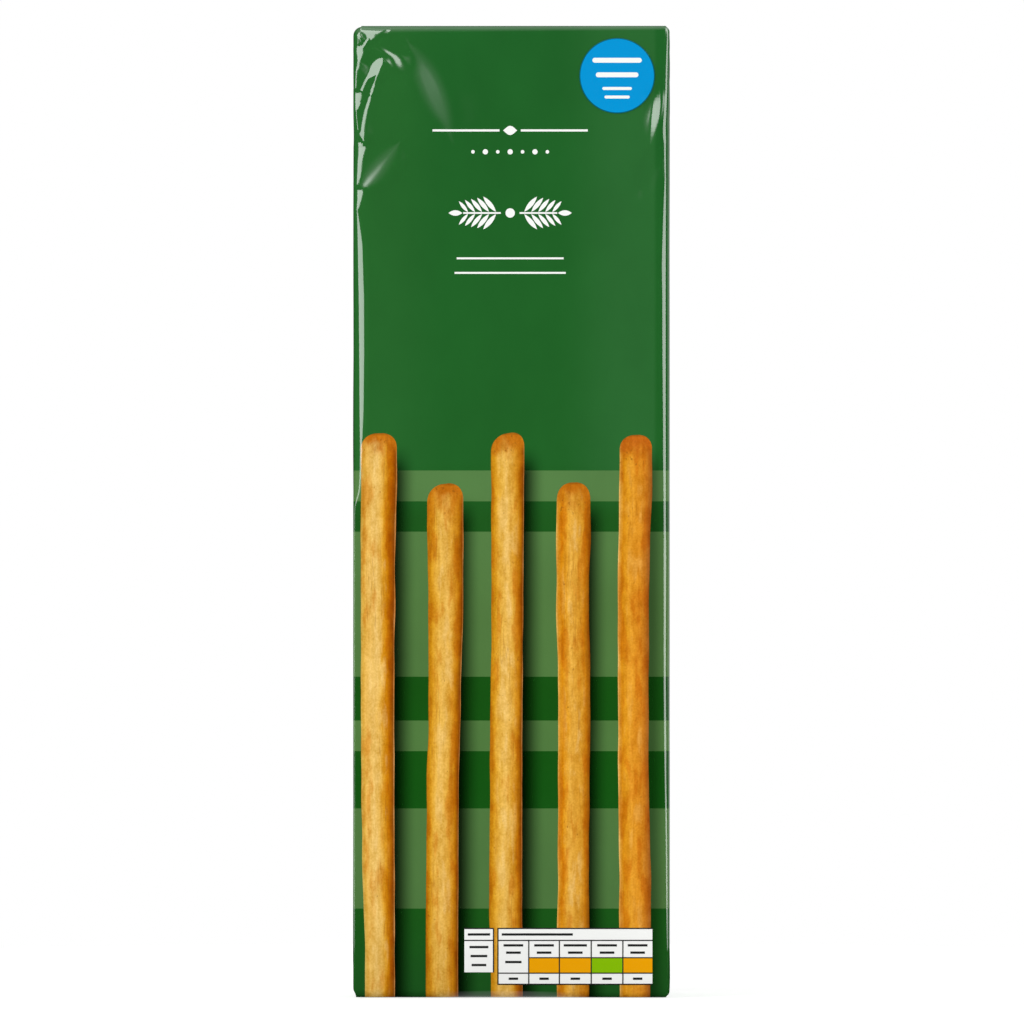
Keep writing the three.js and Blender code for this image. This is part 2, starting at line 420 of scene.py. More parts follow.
@dataclass(frozen=True)
class Crease:
    """A sloping strip of film along a path, with a valley on one border and a ridge on the other.

    Looking along the path, with the top of the pack up, the valley is on the right.
    """

    folds: tuple[Fold, ...]  # The path, with the strip's size at each point.
    tail: float = 3.0  # How far the film takes to come back to its plain height beyond either border.
    blend: float = 0.3  # How far its borders are rounded.
    fade: float = 1.2  # How far past its ends it dies away.

    @classmethod
    def along(
        cls,
        path: Sequence[tuple[float, float, float]],
        slope: float,
        last_slope: float | None = None,
        sink: float = 0.4,
        last_sink: float | None = None,
        **borders: float,
    ) -> "Crease":
        """Makes a crease that runs smoothly through some points.

        Args:
            path: The points, each as across, down and width.
            slope: Rise over run of the strip at the first point.
            last_slope: Its rise over run at the last point, which is the same when it isn't given.
            sink: Share of the strip's rise that lies below the plain film, at the first point.
            last_sink: That share at the last point, which is the same when it isn't given.
            borders: Its tail, blend and fade.

        Returns:
            The crease.
        """
        last_slope = slope if last_slope is None else last_slope
        last_sink = sink if last_sink is None else last_sink
        curve = rounded(path)
        folds = []
        for place, (across, down, width) in enumerate(curve):
            share = place / (len(curve) - 1)
            rise, sunk = width * lerp(slope, last_slope, share), lerp(sink, last_sink, share)
            folds.append(Fold(across, down, width, -sunk * rise, (1 - sunk) * rise))
        return cls(tuple(folds), **borders)

    def near(self, spot: Spot) -> bool:
        """Tells whether the crease may move a point.

        Args:
            spot: The point.

        Returns:
            Whether the point is close enough.
        """
        reach = self.tail + self.blend + max(fold.width for fold in self.folds) / 2
        sides = [fold.across for fold in self.folds]
        heights = [fold.down for fold in self.folds]
        beside = min(sides) - reach <= spot.across <= max(sides) + reach
        return beside and min(heights) - reach <= spot.down <= max(heights) + reach

    def _place(self, spot: Spot) -> tuple[float, float, float, Fold, Fold]:
        """Finds a point's place beside the path.

        Args:
            spot: The point.

        Returns:
            How far it is to the left of the path, how far past an end of it, its share of the way along the
            nearest stretch, and the two ends of that stretch.
        """
        best = None
        for start, end in zip(self.folds, self.folds[1:]):
            run = Vector((end.across - start.across, end.down - start.down))
            to_point = Vector((spot.across - start.across, spot.down - start.down))
            free = to_point.dot(run) / run.length_squared
            share = min(1.0, max(0.0, free))
            away = (to_point - run * share).length
            if best is None or away < best[0]:
                beside = (run.y * to_point.x - run.x * to_point.y) / run.length
                best = (away, beside, abs(free - share) * run.length, share, start, end)
        away, beside, past, share, start, end = best
        ends = (start is self.folds[0] and share == 0.0) or (end is self.folds[-1] and share == 1.0)
        if not ends:
            beside, past = math.copysign(away, beside), 0.0
        return beside, past, share, start, end

    def height(self, spot: Spot) -> float:
        """Finds how high the crease lifts the film at a point.

        Args:
            spot: The point.

        Returns:
            The height above the plain film, which is below 0 in a valley.
        """
        if not self.near(spot):
            return 0.0
        beside, past, share, start, end = self._place(spot)
        half = lerp(start.width, end.width, share) / 2
        valley = lerp(start.valley, end.valley, share)
        ridge = lerp(start.ridge, end.ridge, share)
        blend = min(self.blend, 0.95 * half)
        kept = ease(1 - past / self.fade)
        if abs(beside) >= half + blend:
            border = ridge if beside > 0 else valley
            return kept * border * ease(1 - (abs(beside) - half - blend) / self.tail)
        climb = abs(beside) / half
        if abs(beside) > half - blend:
            round_share = blend / half
            climb = 1 - (1 + round_share - climb) ** 2 / (4 * round_share)
        return kept * lerp(valley, ridge, 0.5 + 0.5 * math.copysign(climb, beside))


@dataclass(frozen=True)
class Facet:
    """A flat three-cornered patch that slack film is pulled into."""

    # Its corners, each as its place across, its place down and its height.
    corners: tuple[Vector, Vector, Vector]
    tail: float  # How far the film takes to come back to its plain height beyond its borders.
    reach: float = 12.0  # Distance from its first corner past which nothing is moved.

    def height(self, spot: Spot) -> float:
        """Finds how high the patch lifts the film at a point.

        Args:
            spot: The point.

        Returns:
            The height, which is below 0 where the film is pulled in.
        """
        flat = [Vector((corner.x, corner.y)) for corner in self.corners]
        point = Vector(spot)
        if (point - flat[0]).length > self.reach:
            return 0.0
        whole = (flat[1] - flat[0]).cross(flat[2] - flat[0])
        shares = []
        for i in range(3):
            one, other = flat[(i + 1) % 3] - point, flat[(i + 2) % 3] - point
            shares.append(one.cross(other) / whole)
        if min(shares) >= 0:
            return sum(share * corner.z for share, corner in zip(shares, self.corners))
        nearest = None
        for i in range(3):
            start, end = self.corners[i], self.corners[(i + 1) % 3]
            run = flat[(i + 1) % 3] - flat[i]
            share = min(1.0, max(0.0, (point - flat[i]).dot(run) / run.length_squared))
            away = (point - flat[i] - run * share).length
            if nearest is None or away < nearest[0]:
                nearest = (away, lerp(start.z, end.z, share))
        return nearest[1] * ease(1 - nearest[0] / self.tail)


@dataclass(frozen=True)
class SoftTilt:
    """A small oval patch where slack film leans over and comes softly back."""

    across: float  # Its middle's place from the face's left side.
    down: float  # Its middle's place from the top.
    angle: float  # How far its long axis is turned, clockwise, from straight across, in degrees.
    length: float  # How far it reaches along that axis.
    width: float  # How far it reaches beside it.
    right: float  # How steeply it faces to the right.
    up: float  # How steeply it faces upwards.
    lengths_out: float = 4.0  # How many times its length from its middle it has died away.

    def height(self, spot: Spot) -> float:
        """Finds how high the patch lifts the film at a point.

        Args:
            spot: The point.

        Returns:
            The height, which is below 0 on the side that leans in.
        """
        away = Vector((spot.across - self.across, spot.down - self.down))
        if away.length > self.lengths_out * self.length:
            return 0.0
        turned = away @ Matrix.Rotation(math.radians(self.angle), 2)
        kept = math.exp(-((turned.x / self.length) ** 2 + (turned.y / self.width) ** 2) / 2)
        return (self.up * away.y - self.right * away.x) * kept


# Slack film round the top left corner of the front, a dent beside the right bend, and the broad soft waves.
FRONT_CREASES = (
    Facet((Vector((1.35, 1.0, -0.55)), Vector((7.6, 0.9, 0.22)), Vector((4.4, 3.4, 0.1))), tail=1.4),
    SoftTilt(10.4, 8.5, angle=60.0, length=1.7, width=1.5, right=0.21, up=0.14),
    SoftTilt(8.0, 6.4, angle=26.0, length=1.5, width=0.6, right=0.15, up=0.2),
    Crease.along(
        (
            (6.60, 8.1, 0.9), (6.10, 8.7, 1.6), (5.40, 9.7, 2.1), (4.75, 10.8, 2.0), (3.80, 11.9, 1.1),
            (3.26, 12.5, 0.62), (2.79, 13.4, 0.52), (2.30, 14.5, 0.50), (1.90, 15.5, 0.55),
        ),
        slope=0.27, tail=3.6, blend=0.16, fade=0.5, sink=0.44,
    ),
    Crease.along(
        (
            (5.95, 10.6, 0.2), (5.65, 11.5, 0.44), (5.28, 12.6, 0.46), (4.68, 14.5, 0.44),
            (4.27, 15.7, 0.44), (3.61, 18.0, 0.46), (3.22, 19.2, 0.54), (2.87, 20.5, 0.62),
            (2.56, 21.9, 0.72), (2.28, 23.8, 0.86), (2.15, 25.8, 1.00), (2.15, 27.2, 0.80),
        ),
        slope=0.42, tail=2.6, blend=0.16, fade=1.4, sink=0.5,
    ),
    Crease.along(
        ((3.45, 3.3, 0.2), (2.95, 4.0, 0.34), (2.35, 5.0, 0.4)), slope=0.42, tail=0.7, blend=0.1, fade=0.3
    ),
    Crease.along(
        (
            (13.0, 4.4, 0.5), (14.5, 7.2, 3.2), (16.4, 10.8, 5.2), (18.4, 15.0, 6.0), (20.3, 19.4, 5.4),
            (21.9, 23.4, 3.4), (22.9, 26.4, 1.0),
        ),
        slope=-0.11, last_slope=-0.085, tail=6.0, blend=1.7, fade=4.0, sink=0.6,
    ),
    Crease.along(
        (
            (10.6, 27.8, 0.5), (9.2, 29.6, 2.2), (7.5, 31.7, 3.0), (5.7, 34.0, 3.2), (4.0, 36.0, 2.6),
            (2.8, 37.5, 1.5),
        ),
        slope=0.07, last_slope=0.118, tail=2.6, blend=1.5, fade=1.6,
    ),
    Crease.along(
        (
            (71.25, 15.0, 0.4), (71.1, 17.0, 1.2), (70.9, 19.4, 1.5), (70.6, 22.0, 1.45),
            (70.2, 25.0, 1.0), (69.8, 28.0, 0.4),
        ),
        slope=0.385, tail=2.4, blend=0.3, fade=1.2, sink=1.0, last_sink=0.0,
    ),
    Crease.along(
        ((69.9, 27.5, 0.2), (69.0, 30.0, 1.8), (67.6, 33.0, 2.6), (66.4, 38.0, 1.8)),
        slope=-0.08, tail=3.0, blend=1.0, fade=3.0,
    ),
    Crease.along(
        ((62.0, 33.0, 5.0), (63.4, 60.0, 8.0), (62.8, 82.0, 6.0)), slope=-0.04, tail=6.0, blend=2.0, fade=12.0
    ),
    Crease.along(((3.2, 223.6, 0.6), (1.9, 225.2, 0.8), (0.9, 226.2, 0.6)), slope=0.05, tail=1.2),
    Crease.along(((73.6, 214.4, 0.6), (72.8, 215.6, 0.7), (71.8, 216.4, 0.6)), slope=0.12, tail=1.2),
)


# The path of a corner's pucker. Each point holds its place across as a share of PUCKER_REACH, its place along
# the edge, whether that place shrinks with the pucker, and the pucker's width.
PUCKER_PATH = ((0.05, 2.5, False, 0.5), (0.11, 9.0, True, 1.6), (0.22, 22.0, True, 0.7))
PUCKER_REACH = 44.0
SHORT_PUCKER = 0.7


def corner_puckers(width: float, height: float) -> tuple[Crease, ...]:
    """Makes the creases that run in from the four corners of a plain face.

    Args:
        width: The face's width.
        height: The pack's height.

    Returns:
        The creases.
    """
    reach = min(width, PUCKER_REACH)
    creases = []
    for from_top in (True, False):
        for from_left in (True, False):
            length = 1.0 if from_left == from_top else SHORT_PUCKER
            path = []
            for out, along, shrinks, wide in PUCKER_PATH:
                across = reach * out if from_left else width - reach * out
                along *= length if shrinks else 1.0
                path.append((across, along if from_top else height - along, wide))
            creases.append(Crease.along(path, slope=0.17 if from_left else -0.2, tail=3.2))
    return tuple(creases)


@dataclass
class FilmRelief:
    """Everything that lifts the film off the plain block."""

    size: PackSize
    bulge: float = 0.26  # How far the middle of the front and of the back stands out.
    front_wave: float = 0.05  # Height of the slow waves in the front.
    # Height of the slow waves in the other faces, which sag between their upright bends.
    side_wave: float = 0.2
    sag: float = 0.8  # How far those faces sag, against the height of their waves.
    border: float = 7.0  # Width of the border beside an upright bend where the sag and the waves start.
    slow: tuple[float, float] = (17.0, 38.0)  # Lengths of the slow waves, across and down.
    quick: tuple[float, float] = (6.0, 15.0)  # Lengths of the quicker waves on top of them, across and down.
    quick_share: float = 0.25  # Height of the quicker waves, against the slow ones.
    # Each face's creases and patches.
    creases: dict[Face, tuple[Crease | Facet | SoftTilt, ...]] = field(default_factory=dict)

    def __post_init__(self) -> None:
        """Sets each face's creases."""
        size = self.size
        self.creases = {
            Face.FRONT: FRONT_CREASES,
            Face.RIGHT: corner_puckers(size.depth, size.height),
            Face.BACK: corner_puckers(size.width, size.height),
            Face.LEFT: corner_puckers(size.depth, size.height),
        }

    def waves(self, face: Face, spot: Spot) -> float:
        """Works out the slow waves of taut film, which are longer down the pack than across it.

        Args:
            face: The face that the point is on.
            spot: The point.

        Returns:
            How far they lift the film.
        """
        face_seed, quick_seed = 17.0 * list(Face).index(face), 5.0
        across, down = spot
        slow = noise.noise(Vector((across / self.slow[0], down / self.slow[1], face_seed)))
        quick = noise.noise(Vector((across / self.quick[0], down / self.quick[1], face_seed + quick_seed)))
        wave = slow + self.quick_share * quick
        if face is Face.FRONT:
            return self.front_wave * wave
        width = self.size.width if face is Face.BACK else self.size.depth
        inner = ease(across / self.border) * ease((width - across) / self.border)
        return self.side_wave * (wave - self.sag) * inner

    def pillow(self, face: Face, spot: Spot) -> float:
        """Works out the gentle crown of a face, which is flat in its middle and falls off at its borders.

        Args:
            face: The face that the point is on.
            spot: The point.

        Returns:
            How far it lifts the film.
        """
        width = self.size.width if face in (Face.FRONT, Face.BACK) else self.size.depth
        crown = 1 - (2 * spot.across / width - 1) ** 4
        length = 1 - (2 * spot.down / self.size.height - 1) ** 8
        return self.bulge * width / self.size.width * max(0.0, crown) * max(0.0, length)

    def height(self, face: Face, spot: Spot) -> float:
        """How far the film stands off the plain block, at a point of a face."""
        folded = sum(crease.height(spot) for crease in self.creases[face])
        return folded + self.waves(face, spot) + self.pillow(face, spot)


# ---- The film ----


class Zone(Enum):
    """The stretches of the outline, anticlockwise as seen from above, with the face that each belongs to."""

    FRONT_LEFT_BEND = (0, Face.FRONT)
    FRONT = (1, Face.FRONT)
    FRONT_RIGHT_BEND = (2, Face.FRONT)
    RIGHT = (3, Face.RIGHT)
    BACK_RIGHT_BEND = (4, Face.BACK)
    BACK = (5, Face.BACK)
    BACK_LEFT_BEND = (6, Face.BACK)
    LEFT = (7, Face.LEFT)

    @property
    def face(self) -> Face:
        """The face whose creases reach this stretch."""
        return self.value[1]


@dataclass(frozen=True)
class Station:
    """A point of the outline at one height, with its outward direction, seen from above."""

    x: float
    y: float
    out_x: float
    out_y: float


@dataclass(frozen=True)
class Level:
    """A ring of the film: on the upright part at a height, or in the bend of a rim."""

    height: float = 0.0  # The ring's height, on the upright part.
    end: End | None = None  # The end whose rim the ring is in.
    # The film's tilt in the rim, a right angle where it is upright and 0 where it lies on the end.
    tilt: float = math.pi / 2
    tucked: float = 0.0  # How far the ring runs on inwards and under the flaps.


@dataclass
class FilmWrap:
    """The film round the pack's faces and its rims, closed by a hidden face under the folds at each end."""

    size: PackSize
    relief: FilmRelief  # What lifts the film off the plain block.
    back_bend: float = 3.0  # Radius of the two upright bends at the back.
    left_rim: float = 2.1  # Radius of the rims at the left side.
    right_rim: float = 1.3  # Radius of the rims at the right side.
    fold_step: float = 0.18  # How far each layer of the ends lies below the next.
    rim_rings: int = 9  # Number of rings in a rim.
    finest_down: float = 29.0  # How far down from the top the rings are closest together.
    finest_pitch: float = 0.2  # The pitch of those rings.
    fine_down: float = 46.0  # How far down the rings below them go that are still close together.
    fine_pitch: float = 0.34  # The pitch of those rings.
    coarse_pitch: float = 1.9  # The pitch of the others.
    rim_gap: float = 0.4  # How far the first and the last of them keep away from a rim.
    tuck_drop: float = 0.6  # How far a tucked ring sinks for each millimetre that it runs inwards.
    # Shares of the way along a bend between which the end's layer changes.
    layer_step: tuple[float, float] = (0.35, 0.65)
    # Where each part of the front starts, as a share of it, with its number of columns.
    front_columns: tuple[tuple[float, int], ...] = ((0.0, 80), (0.115, 38), (0.33, 30), (0.92, 24))
    # Number of columns of points in each of the other stretches, from the front's left bend on.
    zone_columns: tuple[int, ...] = (34, 20, 16, 10, 36, 10, 16)
    # Every column, as its stretch and its share of the way along it.
    columns: list[tuple[Zone, float]] = field(default_factory=list)
    levels: list[Level] = field(default_factory=list)  # Every ring.
    rings: list[list[Vector]] = field(default_factory=list)  # The points of every ring.

    def __post_init__(self) -> None:
        """Sets the columns and levels out and places every point."""
        self.columns = self._columns()
        self.levels = self._levels()
        self.rings = [self._ring(level) for level in self.levels]

    def _columns(self) -> list[tuple[Zone, float]]:
        """The columns of points round the pack, each as its stretch and its share of the way along it.

        Returns:
            The columns.
        """
        others = [zone for zone in Zone if zone is not Zone.FRONT]
        shares = {zone: steps(count) for zone, count in zip(others, self.zone_columns)}
        ends = [start for start, _ in self.front_columns[1:]] + [1.0]
        parts = [steps(count, start, end) for (start, count), end in zip(self.front_columns, ends)]
        shares[Zone.FRONT] = sum(parts, [])
        return [(zone, share) for zone in Zone for share in shares[zone]]

    def _levels(self) -> list[Level]:
        """The rings of points from the base to the top.

        Returns:
            The rings, which are closer together towards the top.
        """
        rim = [math.pi / 2 * i / self.rim_rings for i in range(self.rim_rings + 1)]
        clear = self.left_rim + 2 * self.fold_step + self.rim_gap
        top = self.size.height
        borders = (clear, top - self.fine_down, top - self.finest_down, top - clear)
        pitches = (self.coarse_pitch, self.fine_pitch, self.finest_pitch)
        heights = []
        for low, high, pitch in zip(borders, borders[1:], pitches):
            heights += steps(round((high - low) / pitch), low, high)
        heights.append(borders[-1])
        return [
            Level(end=End.BOTTOM, tilt=0.0, tucked=1.0),
            *(Level(end=End.BOTTOM, tilt=tilt) for tilt in rim),
            *(Level(height=height) for height in heights),
            *(Level(end=End.TOP, tilt=tilt) for tilt in reversed(rim)),
            Level(end=End.TOP, tilt=0.0, tucked=1.0),
        ]

    def _rim_radius(self, x: float) -> float:
        """The rim's radius at a place between the left side and the right side."""
        return lerp(self.left_rim, self.right_rim, x / self.size.width + 0.5)

    def _sunk(self, zone: Zone, share: float) -> float:
        """Works out how far the end's layer beside the outline lies below the outermost one.

        Args:
            zone: The stretch of the outline.
            share: The share of the way along it.

        Returns:
            The depth, which changes softly along a bend.
        """
        layers = {Zone.FRONT: 1.0, Zone.RIGHT: 2.0, Zone.BACK: 0.0, Zone.LEFT: 2.0}
        if zone in layers:
            return self.fold_step * layers[zone]
        order = list(Zone)
        place = order.index(zone)
        before, after = layers[order[place - 1]], layers[order[(place + 1) % len(order)]]
        start, end = self.layer_step
        return self.fold_step * lerp(before, after, ease((share - start) / (end - start)))

    def _station(self, zone: Zone, share: float, down: float, left: ArcChain, right: ArcChain) -> Station:
        """Finds a point of the outline.

        Args:
            zone: The stretch that it is on.
            share: Its share of the way along the stretch.
            down: Not used.
            left: The left bend there.
            right: The right bend there.

        Returns:
            The point and its outward direction.
        """
        half, front, back, radius = self.size.width / 2, self.size.front, self.size.back, self.back_bend
        quarter = math.pi / 2
        if zone is Zone.FRONT_LEFT_BEND:
            tilt = quarter * (1 - share)
            reach, depth = left.at_tilt(tilt)
            return Station(-half + reach, front + depth, -math.sin(tilt), -math.cos(tilt))
        if zone is Zone.FRONT:
            return Station(lerp(-half + left.flat, half - right.flat, share), front, 0.0, -1.0)
        if zone is Zone.FRONT_RIGHT_BEND:
            tilt = quarter * share
            reach, depth = right.at_tilt(tilt)
            return Station(half - reach, front + depth, math.sin(tilt), -math.cos(tilt))
        if zone is Zone.RIGHT:
            return Station(half, lerp(front + right.depth, back - radius, share), 1.0, 0.0)
        if zone is Zone.BACK:
            return Station(lerp(half - radius, -half + radius, share), back, 0.0, 1.0)
        if zone is Zone.LEFT:
            return Station(-half, lerp(back - radius, front + left.depth, share), -1.0, 0.0)
        angle = quarter * share + (quarter if zone is Zone.BACK_LEFT_BEND else 0.0)
        centre = half - radius if zone is Zone.BACK_RIGHT_BEND else -half + radius
        out_x, out_y = math.cos(angle), math.sin(angle)
        return Station(centre + radius * out_x, back - radius + radius * out_y, out_x, out_y)

    def _across(self, face: Face, station: Station) -> float:
        """Measures a point's place from the left side of its face, seen from outside.

        Args:
            face: The face.
            station: The point.

        Returns:
            The place.
        """
        return {
            Face.FRONT: station.x + self.size.width / 2,
            Face.RIGHT: station.y - self.size.front,
            Face.BACK: self.size.width / 2 - station.x,
            Face.LEFT: self.size.back - station.y,
        }[face]

    def _ring(self, level: Level) -> list[Vector]:
        """Places the points of one ring.

        Args:
            level: The ring.

        Returns:
            Its points, one for each column.
        """
        height = level.height
        if level.end is End.TOP:
            height = self.size.height - self.left_rim
        if level.end is End.BOTTOM:
            height = self.left_rim
        down = self.size.height - height
        left, right = LEFT_BEND.at(down), RIGHT_BEND.at(down)
        ring = []
        for zone, share in self.columns:
            station = self._station(zone, share, down, left, right)
            inset, z = 0.0, height
            if level.end is not None:
                radius = self._rim_radius(station.x)
                inset = radius * (1 - math.sin(level.tilt)) + level.tucked
                sunk = self._sunk(zone, share) + radius * (1 - math.cos(level.tilt))
                sunk += self.tuck_drop * level.tucked
                z = self.size.height - sunk if level.end is End.TOP else sunk
            spot = Spot(self._across(zone.face, station), self.size.height - z)
            lift = self.relief.height(zone.face, spot)
            out = lift * math.sin(level.tilt) - inset
            ring.append(Vector((station.x + out * station.out_x, station.y + out * station.out_y, z)))
        return ring

    def corner_column(self, bend: Zone) -> int:
        """The column in the middle of a bend, where two folds of an end meet."""
        shares = [(i, share) for i, (zone, share) in enumerate(self.columns) if zone is bend]
        return min(shares, key=lambda pair: abs(pair[1] - 0.5))[0]

    def end_ring(self, end: End) -> list[Vector]:
        """The ring where a rim meets the end, from which the flaps fold inwards."""
        return self.rings[-2] if end is End.TOP else self.rings[1]

    def front_point(self, x: float, z: float, lift: float) -> Vector:
        """Finds a point just in front of the film's front.

        Args:
            x: The point's place on X.
            z: Its height.
            lift: How far in front of the film it lies.

        Returns:
            The point.
        """
        size = self.size
        down = size.height - z
        across = x + size.width / 2
        depth = LEFT_BEND.at(down).depth_at(across) + RIGHT_BEND.at(down).depth_at(size.width - across)
        radius = self._rim_radius(x)
        into_rim = max(0.0, radius + self.fold_step - min(z, down))
        upright = math.sqrt(1 - min(1.0, into_rim / radius) ** 2)
        depth += radius * (1 - upright)
        raised = self.relief.height(Face.FRONT, Spot(across, down)) * upright
        return Vector((x, size.front + depth - raised - lift, z))

    def back_point(self, x: float, z: float, lift: float) -> Vector:
        """A point just behind the film's back, lift away from it."""
        raised = self.relief.height(Face.BACK, Spot(self.size.width / 2 - x, self.size.height - z))
        return Vector((x, self.size.back + raised + lift, z))

    def build(self, material: Material) -> None:
        """Makes the film's mesh: a grid rolled round the pack, welded up its side and closed at both ends.

        Args:
            material: The film's finish.
        """
        count = len(self.columns)
        bm = grid_mesh(count, len(self.rings) - 1, lambda column, row: self.rings[row][column % count])
        bmesh.ops.remove_doubles(bm, verts=bm.verts[:], dist=WELD)
        rims = [edge for edge in bm.edges if edge.is_boundary]
        bmesh.ops.holes_fill(bm, edges=rims, sides=0)
        face_outwards(bm)
        finish_piece("film_sleeve", bm, material, ["film_pack"])


@dataclass
class EndFold:
    """The envelope fold that closes an end: two side tucks, the front flap over them, the back flap last."""

    wrap: FilmWrap
    end: End  # Which end they close.
    reach: float = 20.0  # From the rim to a flap's free edge.
    thickness: float = 0.13  # Thickness of the pressed layers of film.
    rows: int = 26  # Number of faces from the rim to a free edge.
    most_columns: int = 60  # About the greatest number of faces along a free edge.
    tuck_tip: float = 1.5  # Half the length of a tuck's free edge.
    pucker: float = 0.1  # Height of the small waves beside the folds.
    highest: float = 0.04  # How far a wave may rise.
    waves: tuple[float, float] = (9.0, 2.2)  # About how many waves it has along the rim, and inwards.

    def _flap(
        self, name: str, rim: tuple[Zone, Zone], tip: tuple[Vector, Vector], layer: int, material: Material
    ) -> None:
        """Makes one flap, from its stretch of the rim to its free edge.

        Args:
            name: The piece's name, after the end's.
            rim: The bends where its stretch of the rim starts and stops.
            tip: The two corners of its free edge, seen from above.
            layer: How many layers lie over it.
            material: Its finish.
        """
        wrap = self.wrap
        ring = wrap.end_ring(self.end)
        first, last = (wrap.corner_column(bend) for bend in rim)
        span = (last - first) % len(ring)
        stride = max(1, span // self.most_columns)
        indices = [(first + i) % len(ring) for i in range(0, span, stride)] + [last]
        sunk = wrap.fold_step * layer
        plane = wrap.size.height - sunk if self.end is End.TOP else sunk
        outward = self.end.value
        columns = len(indices) - 1

        def place(column: int, row: int) -> Vector:
            """A point of the flap, lifted by the puckers that fan out from its folds."""
            share, inward = column / columns, row / self.rows
            edge = ring[indices[column]]
            free = tip[0].lerp(tip[1], share)
            spot = Vector((edge.x, edge.y)).lerp(free, inward)
            wave = noise.noise(Vector((share * self.waves[0], inward * self.waves[1], 3.0 * layer + 11)))
            lift = self.pucker * wave * ease(inward * 4) * (0.4 + 1.2 * abs(share - 0.5))
            z = lerp(edge.z, plane, ease(inward * 9)) + outward * min(self.highest, lift)
            return Vector((spot.x, spot.y, z))

        bm = grid_mesh(columns, self.rows, place)
        thicken(bm, Vector((0, 0, -outward * self.thickness)))
        finish_piece(f"{self.end.name.lower()}_{name}", bm, material)

    def build(self, material: Material) -> None:
        """Makes the four folds of the end.

        Args:
            material: The film's finish.
        """
        size = self.wrap.size
        back_edge, front_edge = size.back - self.reach, size.front + self.reach
        flap_half = size.width / 2 - self.reach
        tuck = size.width / 2 - size.depth / 2 - self.tuck_tip
        front_left, front_right, back_right, back_left = (
            Zone.FRONT_LEFT_BEND, Zone.FRONT_RIGHT_BEND, Zone.BACK_RIGHT_BEND, Zone.BACK_LEFT_BEND
        )
        flaps = (
            ("tuck_right", (front_right, back_right), ((tuck, -self.tuck_tip), (tuck, self.tuck_tip)), 2),
            ("tuck_left", (back_left, front_left), ((-tuck, self.tuck_tip), (-tuck, -self.tuck_tip)), 2),
            ("flap_front", (front_left, front_right), ((-flap_half, front_edge), (flap_half, front_edge)), 1),
            ("flap_back", (back_right, back_left), ((flap_half, back_edge), (-flap_half, back_edge)), 0),
        )
        for name, rim, (one, other), layer in flaps:
            self._flap(name, rim, (Vector(one), Vector(other)), layer, material)


@dataclass
class BackSeam:
    """The lap seam down the back, with the fine ribs that the sealing jaws press into it."""

    wrap: FilmWrap
    width: float = 10.0  # From the buried edge to the free edge.
    step: float = 0.26  # How far the free edge stands off the back.
    thickness: float = 0.06  # Thickness of the film.
    rib_pitch: float = 1.3  # Distance from rib to rib.
    rib_height: float = 0.05  # Height of the ribs.
    sealed: float = 6.4  # Width of the sealed strip.
    gap: float = 0.07  # How far the strip's face lies off the back, at its buried edge.
    slack: float = 0.05  # Height of the soft waves beside the sealed strip.
    columns: int = 20  # Number of faces across the seam.
    rows_per_rib: int = 5  # Number of faces from rib to rib.

    def build(self, material: Material) -> None:
        """Makes the seam's strip of film.

        Args:
            material: Its finish.
        """
        size, wrap = self.wrap.size, self.wrap
        low, high = wrap.left_rim, size.height - wrap.left_rim
        rows = round((high - low) / self.rib_pitch * self.rows_per_rib)

        def place(column: int, row: int) -> Vector:
            """A point of the strip, which rises towards its free edge."""
            share = column / self.columns
            x, z = self.width * (0.5 - share), lerp(low, high, row / rows)
            outside = abs(x) - self.sealed / 2
            rib = self.rib_height * ease(-outside / 0.5) * math.sin(math.tau * z / self.rib_pitch)
            slack = self.slack * ease(outside) * noise.noise(Vector((x / 3, z / 7, 2)))
            free_edge = self.step * (1 - share) ** 1.5
            return wrap.back_point(x, z, self.gap + free_edge + rib + slack)

        bm = grid_mesh(self.columns, rows, place)
        thicken(bm, Vector((0, -self.thickness, 0)))
        finish_piece("back_seam", bm, material)


# ---- The print ----


class Layer(Enum):
    """The layers of print, each with how far it lies in front of the film."""

    GROUND = 0.03
    PANEL = 0.06
    CELLS = 0.08
    RULES = 0.10


